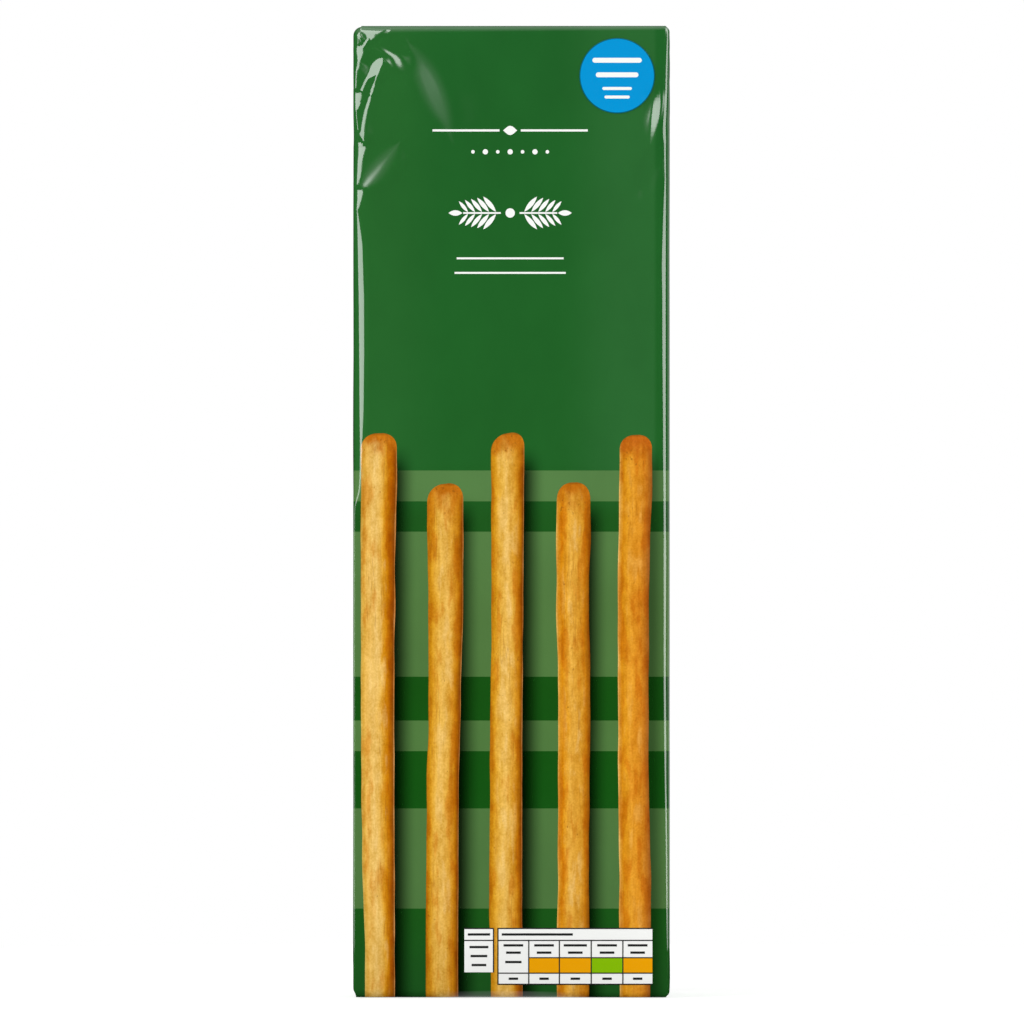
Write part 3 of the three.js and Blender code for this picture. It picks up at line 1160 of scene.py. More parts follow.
@dataclass
class FlatPrint:
    """Shapes of one ink, drawn flat and then laid on the film's front."""

    wrap: FilmWrap
    layer: Layer  # The layer of print that they are in.
    thickness: float = 0.05  # How thick the ink is made, from its face inwards.
    pitch: float = 2.0  # Longest edge that is left undivided, so that the ink follows the film.
    sides: int = 24  # Number of sides of a round shape.
    shapes: BMesh = field(default_factory=bmesh.new)  # What has been drawn, flat and upright, in metres.

    def rectangle(self, left: float, right: float, bottom: float, top: float) -> None:
        """Adds a rectangle.

        Args:
            left: Its left side, on X.
            right: Its right side.
            bottom: Its lower side, on Z.
            top: Its upper side.
        """
        columns = max(1, math.ceil((right - left) / self.pitch))
        rows = max(1, math.ceil((top - bottom) / self.pitch))

        def place(column: int, row: int) -> Vector:
            """A point of the rectangle."""
            return Vector((lerp(left, right, column / columns), 0, lerp(bottom, top, row / rows)))

        merge_into(self.shapes, grid_mesh(columns, rows, place))

    def rule(self, x: float, z: float, length: float, weight: float) -> None:
        """Adds a level rule of that length and weight, round its middle."""
        self.rectangle(x - length / 2, x + length / 2, z - weight / 2, z + weight / 2)

    def _stand(self, bm: BMesh, x: float, z: float, angle: float = 0.0) -> None:
        """Stands a flat shape up and adds it.

        Args:
            bm: The shape, drawn round the origin on X and Y. It is freed.
            x: Its middle, on X.
            z: Its middle, on Z.
            angle: How far it is turned up from lying along X, in radians.
        """
        upright = Matrix.Rotation(-angle, 4, "Y") @ Matrix.Rotation(math.pi / 2, 4, "X")
        place = Matrix.Scale(MM, 4) @ Matrix.Translation((x, 0, z)) @ upright
        bmesh.ops.transform(bm, matrix=place, verts=bm.verts[:])
        merge_into(self.shapes, bm)

    def leaf(self, x: float, z: float, length: float, width: float, angle: float, blunt: float = 1.0) -> None:
        """Adds a shape with two pointed ends, such as a grain or a lozenge.

        Args:
            x: Its middle, on X.
            z: Its middle, on Z.
            length: From point to point.
            width: Its greatest width.
            angle: How far it is turned up from lying along X, in radians.
            blunt: 1 for a grain, and more for straighter sides.
        """
        bm = bmesh.new()
        bmesh.ops.create_circle(bm, cap_ends=True, segments=20, radius=0.5)
        for vert in bm.verts:
            pinch = (1 - (2 * vert.co.x) ** 2) ** (0.5 * blunt)
            vert.co = Vector((length * vert.co.x, width * pinch * vert.co.y, 0))
        self._stand(bm, x, z, angle)

    def disc(self, x: float, z: float, radius: float) -> None:
        """Adds a round dot.

        Args:
            x: Its middle, on X.
            z: Its middle, on Z.
            radius: Its radius.
        """
        bm = bmesh.new()
        bmesh.ops.create_circle(bm, cap_ends=True, segments=self.sides, radius=radius)
        self._stand(bm, x, z)

    def dash(self, x: float, z: float, length: float, weight: float) -> None:
        """Adds a short bar with round ends, in one outline.

        Args:
            x: Its middle, on X.
            z: Its middle, on Z.
            length: Its length between the middles of its round ends.
            weight: Its width.
        """
        bm = bmesh.new()
        half_a_side = Matrix.Rotation(math.pi / self.sides, 4, "Z")
        bmesh.ops.create_circle(bm, cap_ends=True, segments=self.sides, radius=weight / 2, matrix=half_a_side)
        for vert in bm.verts:
            vert.co.x += math.copysign(length / 2, vert.co.x)
        for across in steps(math.ceil(length / self.pitch), -length / 2, length / 2)[1:]:
            geometry = bm.verts[:] + bm.edges[:] + bm.faces[:]
            bmesh.ops.bisect_plane(bm, geom=geometry, plane_co=(across, 0, 0), plane_no=(1, 0, 0))
        self._stand(bm, x, z)

    def build(self, name: str, material: Material, slot: str, lift: float = 0.0) -> None:
        """Lays the shapes on the film and makes them a piece.

        Args:
            name: The piece's name.
            material: The ink.
            slot: Not used.
            lift: What lies between the ink and the film, such as a label.
        """
        for vert in self.shapes.verts:
            vert.co = self.wrap.front_point(vert.co.x / MM, vert.co.z / MM, self.layer.value + lift) * MM
        thicken(self.shapes, Vector((0, self.thickness, 0)))
        finish_piece(name, self.shapes, material)


class BakedTone(Enum):
    """How deeply a printed bar is browned."""

    PALE = "pale"
    GOLDEN = "golden"
    RIPE = "ripe"
    DEEP = "deep"


@dataclass(frozen=True)
class Bar:
    """One printed bar."""

    tone: BakedTone  # How it is browned.
    top: float  # How high it reaches, on Z.
    dome: float  # Length of its rounded top.
    slant: float  # How much higher its top is on the right than on the left.
    # Its course from its top down, each point as its height, its middle and its width.
    course: tuple[tuple[float, float, float], ...]

    def at(self, z: float) -> tuple[float, float]:
        """Finds the bar's middle and width at a height.

        Args:
            z: The height.

        Returns:
            Its middle, on X, and its width.
        """
        above = self.course[0]
        for below in self.course:
            if below[0] <= z:
                break
            above = below
        gap = above[0] - below[0]
        share = ease((above[0] - z) / gap) if gap > 0 else 0.0
        return lerp(above[1], below[1], share), lerp(above[2], below[2], share)


TALL_TOP = 132.1
SHORT_TOP = 120.3
BAR_MAP = "along_bar"

BARS = (
    Bar(BakedTone.PALE, TALL_TOP, dome=3.8, slant=0.3, course=(
        (126, -30.95, 8.45), (102, -31.2, 8.05), (70, -31.3, 7.8), (35, -31.15, 7.6), (11, -30.75, 7.0),
    )),
    Bar(BakedTone.GOLDEN, SHORT_TOP, dome=4.3, slant=1.0, course=(
        (112, -15.5, 8.45), (93, -15.35, 8.15), (70, -15.6, 7.5), (46, -16.1, 7.45), (10, -16.25, 7.55),
    )),
    Bar(BakedTone.GOLDEN, TALL_TOP, dome=3.9, slant=1.5, course=(
        (126, -0.9, 7.75), (93, -0.95, 7.4), (58, -1.25, 7.5), (23, -1.35, 7.7), (4, -1.1, 7.4),
    )),
    Bar(BakedTone.RIPE, SHORT_TOP + 0.3, dome=4.4, slant=0.3, course=(
        (112, 14.5, 8.0), (93, 14.3, 7.65), (70, 14.7, 7.5), (35, 14.5, 7.25), (4, 14.4, 7.6),
    )),
    Bar(BakedTone.DEEP, TALL_TOP - 0.4, dome=3.6, slant=0.3, course=(
        (126, 29.1, 7.65), (93, 28.5, 7.3), (58, 28.5, 7.1), (23, 28.9, 7.4), (4, 28.9, 7.1),
    )),
)


@dataclass
class PrintedBars:
    """Upright golden bars with rounded tops, by turns tall and short."""

    wrap: FilmWrap
    foot: float = 0.22  # Where the bars end, on Z, in the rim.
    wobble: float = 0.16  # How much a bar's sides wander.
    thickness: float = 0.05  # How thick the print is made, from its face inwards.
    columns: int = 30  # Number of faces across a bar.
    rows: int = 170  # Number of faces along a bar.
    wander_length: float = 9.0  # Length of those wanderings.
    dome_power: float = 2.3  # Power of the curve of a rounded top, where 2 is an oval.
    slant_reach: float = 12.0  # How far down from its top a bar's slant is gone.

    def _build_bar(self, number: int, bar: Bar, material: Material) -> None:
        """Makes one bar with its own map: U is across it, from 0 to 1, and V is down from its top, in metres.

        Args:
            number: Its number, from the left.
            bar: Its form.
            material: Its finish.
        """

        def place(column: int, row: int) -> Vector:
            """A point of the bar on the film. The faces are smaller near its ends and its sides."""
            share = 2 * ease(column / self.columns) - 1
            down = (bar.top - self.foot) * ease(1 - row / self.rows)
            z = bar.top - down
            middle, width = bar.at(z)
            into_dome = max(0.0, 1 - (down + 0.05) / bar.dome)
            half = width / 2 * (1 - into_dome**self.dome_power) ** (1 / self.dome_power)
            side = 4.0 * math.copysign(1, share)
            wander = self.wobble * noise.noise(Vector((down / self.wander_length, 7.0 * number, side)))
            offset = share * half + wander * abs(share)
            z += bar.slant * offset / width * ease(1 - down / self.slant_reach)
            return self.wrap.front_point(middle + offset, z, Layer.GROUND.value)

        bm = grid_mesh(self.columns, self.rows, place)
        thicken(bm, Vector((0, self.thickness, 0)))
        uv = bm.loops.layers.uv.new(BAR_MAP)
        for face in bm.faces:
            for loop in face.loops:
                x, z = loop.vert.co.x / MM, loop.vert.co.z / MM
                middle, width = bar.at(z)
                loop[uv].uv = ((x - middle) / width + 0.5, (bar.top - z) * MM)
        finish_piece(f"printed_bar_{number}", bm, material)

    def build(self, finishes: dict[BakedTone, Material]) -> None:
        """Makes the bars, each in the finish of its tone."""
        for number, bar in enumerate(BARS, start=1):
            self._build_bar(number, bar, finishes[bar.tone])


@dataclass
class Ornament:
    """Plain white ornaments above the bars: rules, dots and two ears of wheat."""

    wrap: FilmWrap
    middle: float = -0.3  # The middle of the ornaments, on X.
    rule: float = 0.5  # Thickness of the split rule.
    # Its place on Z, its length and the gap at its middle.
    split_rule: tuple[float, float, float] = (202.9, 36.3, 5.0)
    dots: tuple[float, float] = (197.9, 2.9)  # The dots' place on Z, and their pitch.
    dot_sizes: tuple[float, float] = (0.62, 0.42)  # Radii of the dots, by turns.
    ear_z: float = 183.6  # Where the ears lie, on Z.
    ear_start: float = 2.2  # From the middle to the start of an ear's stem.
    ear: float = 11.0  # Length of an ear of wheat.
    stem: float = 0.4  # Thickness of its stem.
    pairs: int = 5  # Number of pairs of grains in an ear.
    grain: tuple[float, float] = (4.6, 1.12)  # Length and width of the largest grain.
    last_grain: tuple[float, float] = (3.2, 1.3)  # Length and width of the grain at its tip.
    lean: float = math.radians(50)  # How far a grain leans away from the stem, in radians.
    off_stem: float = 2.06  # From the stem to the middle of the largest grain.
    shrink: float = 0.07  # How much smaller each pair is than the one before, against the largest.
    knot: float = 1.1  # Radius of the dot between the ears.
    # Place on Z and length of each of the rules below the ears.
    low_rules: tuple[tuple[float, float], ...] = ((173.0, 25.0), (169.6, 26.0))
    low_rule: float = 0.44  # Thickness of those rules.

    def _ear(self, ink: FlatPrint, side: int) -> None:
        """Draws an ear of wheat that points away from the middle.

        Args:
            ink: What it is drawn in.
            side: 1 for the ear on the right, and -1 for the one on the left.
        """
        start, z = self.ear_start, self.ear_z
        stem = sorted((self.middle + side * start, self.middle + side * (start + self.ear * 0.8)))
        ink.rectangle(*stem, z - self.stem / 2, z + self.stem / 2)
        length, width = self.grain
        for pair in range(self.pairs):
            along = start + 1.6 + pair * (self.ear - 3.0) / self.pairs
            size = 1 - self.shrink * pair
            x = self.middle + side * (along + size)
            for up in (1, -1):
                ink.leaf(x, z + up * self.off_stem * size, length * size, width * size, up * side * self.lean)
        ink.leaf(self.middle + side * (start + self.ear - 0.4), z, *self.last_grain, 0.0)

    def build(self, material: Material) -> None:
        """Makes the ornaments in white ink.

        Args:
            material: The ink.
        """
        ink = FlatPrint(self.wrap, Layer.GROUND)
        z, length, gap = self.split_rule
        for side in (-1, 1):
            ink.rule(self.middle + side * (length + gap) / 4, z, (length - gap) / 2, self.rule)
        ink.leaf(self.middle, z, 3.4, 2.2, 0.0, blunt=2.0)
        z, pitch = self.dots
        for i in range(-3, 4):
            ink.disc(self.middle + i * pitch, z, self.dot_sizes[i % 2])
        for side in (1, -1):
            self._ear(ink, side)
        ink.disc(self.middle, self.ear_z, self.knot)
        for z, length in self.low_rules:
            ink.rule(self.middle, z, length, self.low_rule)
        ink.build("white_ornament", material, "white_print")


@dataclass(frozen=True)
class Span:
    """A box on the front, by its sides on X and on Z."""

    left: float
    right: float
    bottom: float
    top: float


@dataclass
class PrintedPanel:
    """The white table near the base: a small box, a ruled one with coloured cells, and dashes for entries."""

    wrap: FilmWrap
    small: Span = Span(-11.0, -4.2, 6.1, 16.35)  # The small box.
    table: Span = Span(-3.15, 32.95, 3.3, 16.35)  # The ruled box.
    header: float = 2.8  # Height of a box's top row.
    column_lines: tuple[float, ...] = (4.05, 11.2, 18.65, 26.05)  # The table's upright rules, on X.
    cell_rows: tuple[float, float] = (5.9, 9.5)  # Bottom and top of the coloured cells, on Z.
    line: float = 0.28  # Thickness of the rules.
    lime_cell: int = 2  # Which of the cells is lime, counted from 0.
    dash: float = 0.54  # Thickness of the dashes.
    titles: tuple[float, float] = (5.2, 16.6)  # Lengths of the dashes in the top rows.
    # Place on Z and length of the dashes in the small box, and of those in each column of the table.
    small_entries: tuple[tuple[float, float], ...] = ((12.0, 4.4), (9.9, 3.9), (7.8, 3.4))
    table_entries: tuple[tuple[float, float], ...] = ((12.4, 4.6), (10.7, 3.4), (4.6, 2.2))
    first_cell_entry: tuple[float, float] = (8.5, 3.8)  # The same for the dash beside the cells.
    longer: tuple[int, float] = (2, 0.8)  # The column whose first dash is longer, and by how much.

    def _rules(self, ink: FlatPrint) -> None:
        """Draws the dark rules of both boxes.

        Args:
            ink: What they are drawn in.
        """
        small, table, thin = self.small, self.table, self.line / 2
        tops = [(box, box.top - down) for box in (small, table) for down in (0, self.header)]
        level = [(box.left - thin, box, z) for box, z in tops]
        level += [(table.left, table, z) for z in (table.bottom, self.cell_rows[0])]
        level.append((self.column_lines[0], table, self.cell_rows[1]))
        for left, box, z in level:
            ink.rectangle(left, box.right, z - thin, z + thin)
        upright = [(x, table.bottom, table.top - self.header) for x in self.column_lines]
        upright += [(table.left, table.bottom - thin, table.top), (small.right, small.bottom, small.top)]
        for x, bottom, top in upright:
            ink.rectangle(x - thin, x + thin, bottom, top)

    def _dashes(self, ink: FlatPrint) -> None:
        """Draws the dashes in the boxes.

        Args:
            ink: What they are drawn in.
        """
        small, table = self.small, self.table
        head, small_middle = small.top - self.header / 2, (small.left + small.right) / 2
        small_title, table_title = self.titles
        ink.rule(small_middle, head, small_title, self.dash)
        for z, length in self.small_entries:
            ink.rule(small_middle, z, length, self.dash)
        ink.rule(table.left + 9.2, head, table_title, self.dash)
        edges = (table.left, *self.column_lines, table.right)
        middles = [(left + right) / 2 for left, right in zip(edges, edges[1:])]
        for column, middle in enumerate(middles):
            for row, (z, length) in enumerate(self.table_entries):
                extra = self.longer[1] if (column, row) == (self.longer[0], 0) else 0.0
                ink.rule(middle, z, length + extra, self.dash)
        z, length = self.first_cell_entry
        ink.rule(middles[0], z, length, self.dash)

    def build(self, white: Material, dark: Material, amber: Material, lime: Material) -> None:
        """Makes the panel in its four inks.

        Args:
            white: The ink of the boxes.
            dark: The ink of the rules and the dashes.
            amber: The ink of three of the cells.
            lime: The ink of the fourth.
        """
        boxes = FlatPrint(self.wrap, Layer.PANEL)
        for box in (self.small, self.table):
            boxes.rectangle(box.left, box.right, box.bottom, box.top)
        boxes.build("panel_boxes", white, "white_print")
        warm, fresh = FlatPrint(self.wrap, Layer.CELLS), FlatPrint(self.wrap, Layer.CELLS)
        edges = (*self.column_lines, self.table.right)
        for number, (left, right) in enumerate(zip(edges, edges[1:])):
            cells = fresh if number == self.lime_cell else warm
            cells.rectangle(left, right, *self.cell_rows)
        warm.build("panel_amber_cells", amber, "amber_print")
        fresh.build("panel_lime_cell", lime, "lime_print")
        rules = FlatPrint(self.wrap, Layer.RULES)
        self._rules(rules)
        self._dashes(rules)
        rules.build("panel_rules", dark, "dark_print")


@dataclass
class RoundLabel:
    """The round label stuck on the front, with four plain white dashes."""

    wrap: FilmWrap
    thickness: float = 0.2  # Thickness of the label.
    bevel: float = 0.05  # How far its edge is softened.
    segments: int = 96  # Number of sides of its outline.
    rings: int = 12  # Number of rings of faces from its edge to its middle.
    # The dashes, each as its height above the label's middle, its length and its weight.
    dashes: tuple[tuple[float, float, float], ...] = (
        (3.6, 10.4, 1.15), (0.2, 8.8, 1.15), (-3.0, 6.2, 0.7), (-5.0, 5.2, 0.7)
    )

    def build(self, paper: Material, white: Material) -> None:
        """Makes the label and its dashes.

        Args:
            paper: The label's finish.
            white: The ink of the dashes.
        """
        low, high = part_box("round_label")
        x, z = (low.x + high.x) / 2 / MM, (low.z + high.z) / 2 / MM
        radius = (high.x - low.x) / 2 / MM

        def place(column: int, row: int) -> Vector:
            """A point of the label's face, on rings round its middle, with the outermost ring bent back."""
            angle = math.tau * (column % self.segments) / self.segments
            out = radius * (self.rings - row) / self.rings if row > 1 else radius - self.bevel * row
            lift = self.thickness - (self.bevel if row == 0 else 0.0)
            return self.wrap.front_point(x + out * math.cos(angle), z + out * math.sin(angle), lift)

        bm = grid_mesh(self.segments, self.rings, place)
        bmesh.ops.remove_doubles(bm, verts=bm.verts[:], dist=WELD)
        thicken(bm, Vector((0, self.thickness, 0)))
        finish_piece("label_disc", bm, paper, ["round_label"])
        marks = FlatPrint(self.wrap, Layer.GROUND, thickness=0.04)
        for rise, length, weight in self.dashes:
            marks.dash(x, z + rise, length, weight)
        marks.build("label_dashes", white, "white_print", lift=self.thickness)


# ---- Shader building ----


class Nodes:
    """A short way to add and join the nodes of a tree."""

    def __init__(self, tree: NodeTree) -> None:
        """Starts on an empty tree."""
        self.tree = tree
        tree.nodes.clear()

    def feed(self, target: Socket, value: object) -> None:
        """Gives an input what it takes.

        Args:
            target: The input.
            value: A socket to join to it, or its own value.
        """
        if isinstance(value, Socket):
            self.tree.links.new(value, target)
        else:
            target.default_value = value

    def add(self, kind: str, feeds: Feeds | None = None, **settings: object) -> bpy.types.Node:
        """Adds a node.

        Args:
            kind: Its type.
            feeds: What its inputs take.
            settings: Its properties, which are set before the inputs.

        Returns:
            The node.
        """
        node = self.tree.nodes.new(kind)
        for name, value in settings.items():
            setattr(node, name, value)
        for name, value in (feeds or {}).items():
            self.feed(node.inputs[name], value)
        return node

    def axes(self, vector: Socket) -> list[Socket]:
        """The three parts of a vector."""
        return list(self.add("ShaderNodeSeparateXYZ", {0: vector}).outputs)

    def math(self, operation: str, first: object, second: object = 0.0) -> Socket:
        """A Math node of that operation."""
        return self.add("ShaderNodeMath", {0: first, 1: second}, operation=operation).outputs[0]

    def total(self, *values: object) -> Socket:
        """The sum of several values."""
        return reduce(lambda one, other: self.math("ADD", one, other), values)

    def product(self, *values: object) -> Socket:
        """The product of several values."""
        return reduce(lambda one, other: self.math("MULTIPLY", one, other), values)

    def ramp(self, value: Socket, start: float, end: float, low: float = 0.0, high: float = 1.0) -> Socket:
        """A smooth change from low to high as the value goes from start to end, held at its ends."""
        feeds = {"Value": value, "From Min": start, "From Max": end, "To Min": low, "To Max": high}
        return self.add("ShaderNodeMapRange", feeds, interpolation_type="SMOOTHSTEP").outputs[0]

    def ramp_mm(self, place: Socket, start: float, end: float, low: float = 0.0, high: float = 1.0) -> Socket:
        """The same as ramp, for a place in metres between two that are given in millimetres."""
        return self.ramp(place, start * MM, end * MM, low, high)

    def inside(self, value: Socket, low: float, high: float, soft: float) -> Socket:
        """1 where the value lies between low and high, with a soft border that wide."""
        fall = self.ramp(value, high - soft / 2, high + soft / 2, 1.0, 0.0)
        return self.product(self.ramp(value, low - soft / 2, low + soft / 2), fall)

    def mix(self, share: object, first: object, second: object, blend: str = "MIX") -> Socket:
        """Mixes two colours."""
        feeds = {"Factor": share, "A": first, "B": second}
        return self.add("ShaderNodeMix", feeds, data_type="RGBA", blend_type=blend).outputs["Result"]

    def colours(self, value: Socket, stops: Stops) -> Socket:
        """Adds a colour ramp.

        Args:
            value: The place on the ramp.
            stops: Its stops, each as its place and its colour from 0 to 255.

        Returns:
            The colour.
        """
        node = self.add("ShaderNodeValToRGB", {0: value})
        elements = node.color_ramp.elements
        while len(elements) < len(stops):
            elements.new(0.5)
        for element, (place, *colour) in zip(elements, stops):
            element.position = place
            element.color = srgb(*colour)
        return node.outputs[0]

    def noise(self, vector: Socket, x: float, y: float, z: float, detail: float) -> Socket:
        """Smooth noise between 0 and 1, with its own scale on each axis."""
        scaled = self.add("ShaderNodeMapping", {"Vector": vector, "Scale": (x, y, z)}).outputs[0]
        return self.add("ShaderNodeTexNoise", {"Vector": scaled, "Scale": 1.0, "Detail": detail}).outputs[0]


class Uneven(Enum):
    """The kinds of unevenness, each as the scale of its noise on X, Y and Z, and how detailed it is."""

    FILM_GRAIN = (900.0, 900.0, 900.0, 3.0)
    FILM_MOTTLE = (95.0, 95.0, 60.0, 3.0)
    CRUST_DRIFT = (260.0, 260.0, 110.0, 4.0)
    CRUST_PATCHES = (470.0, 470.0, 120.0, 5.0)
    CRUST_STREAKS = (1200.0, 1200.0, 90.0, 3.0)
    CRUST_BLOTCHES = (900.0, 900.0, 520.0, 5.0)
    CRUST_GRAIN = (2100.0, 2100.0, 2100.0, 2.0)
    CRUST_VEINS = (880.0, 880.0, 42.0, 2.0)
    CRUST_CRACKED = (150.0, 150.0, 50.0, 1.0)
    CRUST_PITS = (1500.0, 1500.0, 900.0, 1.0)
    TOAST_EDGE = (420.0, 420.0, 260.0, 5.0)


@cache
def film_surface_group() -> NodeTree:
    """Builds, once, the group that all the film and its inks share: the fine unevenness of printed film.

    Returns:
        A group that puts out a height for a bump, and a mottle around 1 that a colour is multiplied by.
    """
    group = bpy.data.node_groups.new("film_unevenness", "ShaderNodeTree")
    for name, way in (("Mottle Depth", "INPUT"), ("Height", "OUTPUT"), ("Mottle", "OUTPUT")):
        group.interface.new_socket(name, in_out=way, socket_type="NodeSocketFloat")
    nodes = Nodes(group)
    place = nodes.add("ShaderNodeTexCoord").outputs["Object"]
    depth = nodes.add("NodeGroupInput").outputs["Mottle Depth"]
    grain, mottle = (nodes.noise(place, *kind.value) for kind in (Uneven.FILM_GRAIN, Uneven.FILM_MOTTLE))
    swing = nodes.product(nodes.math("SUBTRACT", mottle, 0.5), depth)
    nodes.add("NodeGroupOutput", {"Height": grain, "Mottle": nodes.total(swing, 1.0)})
    return group


class FilmShader(Nodes):
    """A glossy film material, ready for a colour."""

    BUMP = 0.05  # Strength of the fine bump.
    BUMP_DEPTH = 0.1 * MM
    # The print is matt, and a clear coat over it has all the gloss.
    MATT = {"Roughness": 0.5, "Specular IOR Level": 0.0}
    COAT = {"Coat Weight": 1.0, "Coat Roughness": 0.06, "Coat IOR": 1.5}

    def __init__(self, name: str, mottle: float) -> None:
        """Makes the material, with its gloss and its bump.

        Args:
            name: The material's name.
            mottle: How strongly the colour varies.
        """
        self.material = bpy.data.materials.new(name)
        self.material.use_nodes = True
        super().__init__(self.material.node_tree)
        self.place = self.add("ShaderNodeTexCoord").outputs["Object"]
        shared = self.add("ShaderNodeGroup", {"Mottle Depth": mottle}, node_tree=film_surface_group())
        self.shared = shared.outputs
        bump = {"Strength": self.BUMP, "Distance": self.BUMP_DEPTH, "Height": self.shared["Height"]}
        normal = self.add("ShaderNodeBump", bump).outputs[0]
        self.shader = self.add("ShaderNodeBsdfPrincipled", {**self.MATT, **self.COAT, "Normal": normal})
        self.add("ShaderNodeOutputMaterial", {0: self.shader.outputs[0]})

    def uneven(self, kind: Uneven) -> Socket:
        """Noise of one kind, between 0 and 1, that is fixed to the piece."""
        return self.noise(self.place, *kind.value)

    def paint(self, colour: object) -> Material:
        """Sets the colour, broken up by the film's mottle.

        Args:
            colour: The colour, as a socket or a value.

        Returns:
            The finished material.
        """
        mottle = self.add("ShaderNodeCombineColor", {i: self.shared["Mottle"] for i in range(3)})
        self.feed(self.shader.inputs["Base Color"], self.mix(1.0, colour, mottle.outputs[0], "MULTIPLY"))
        return self.material


# ---- Finishes ----


@dataclass(frozen=True)
class BarShadows:
    """The soft shadows that are printed to the right of the bars."""

    size: PackSize
    start: float = -29.4  # Where the first shadow starts, under the first bar, on X.
    lead: float = 2.0  # How far from there it comes out at the bar's right side.
    pitch: float = 15.0  # From one shadow to the next.
    reach: float = 5.4  # Width of a shadow beside its bar.
    last_reach: float = 4.2  # Width of the last shadow, which the pack's edge cuts short.
    last_depth: float = 0.62  # How deep the last shadow is, against the others.
    # How far below a bar's top its shadow starts, and where it is full.
    fades_in: tuple[float, float] = (2.0, 10.0)
    # How far behind the front the shadows start to fade, and where they have gone.
    stops: tuple[float, float] = (2.0, 4.0)

    def mask(self, film: FilmShader) -> Socket:
        """Works out how deep the shadows are.

        Args:
            film: The material that they are in.

        Returns:
            The depth, from 0 to 1.
        """
        x, y, z = film.axes(film.place)
        counted = film.math("DIVIDE", film.math("SUBTRACT", x, self.start * MM), self.pitch * MM)
        past_edge = film.math("SUBTRACT", film.product(film.math("FRACT", counted), self.pitch), self.lead)
        last = len(BARS) - 1.0
        squeeze = film.ramp(counted, last, last + 0.01, 1.0, self.reach / self.last_reach)
        depth = film.ramp(counted, last, last + 0.01, 1.0, self.last_depth)
        near = film.product(film.ramp(film.product(past_edge, squeeze), 0.0, self.reach, 1.0, 0.0), depth)
        short = film.math("MODULO", film.math("FLOOR", counted), 2.0)
        drop = film.product(short, (TALL_TOP - SHORT_TOP) * MM)
        below = film.math("SUBTRACT", film.math("SUBTRACT", TALL_TOP * MM, drop), z)
        started = film.ramp_mm(below, *self.fades_in)
        among = film.inside(counted, 0.0, len(BARS), 0.001)
        on_front = film.ramp_mm(y, *(self.size.front + behind for behind in self.stops), 1.0, 0.0)
        return film.product(near, started, among, on_front)


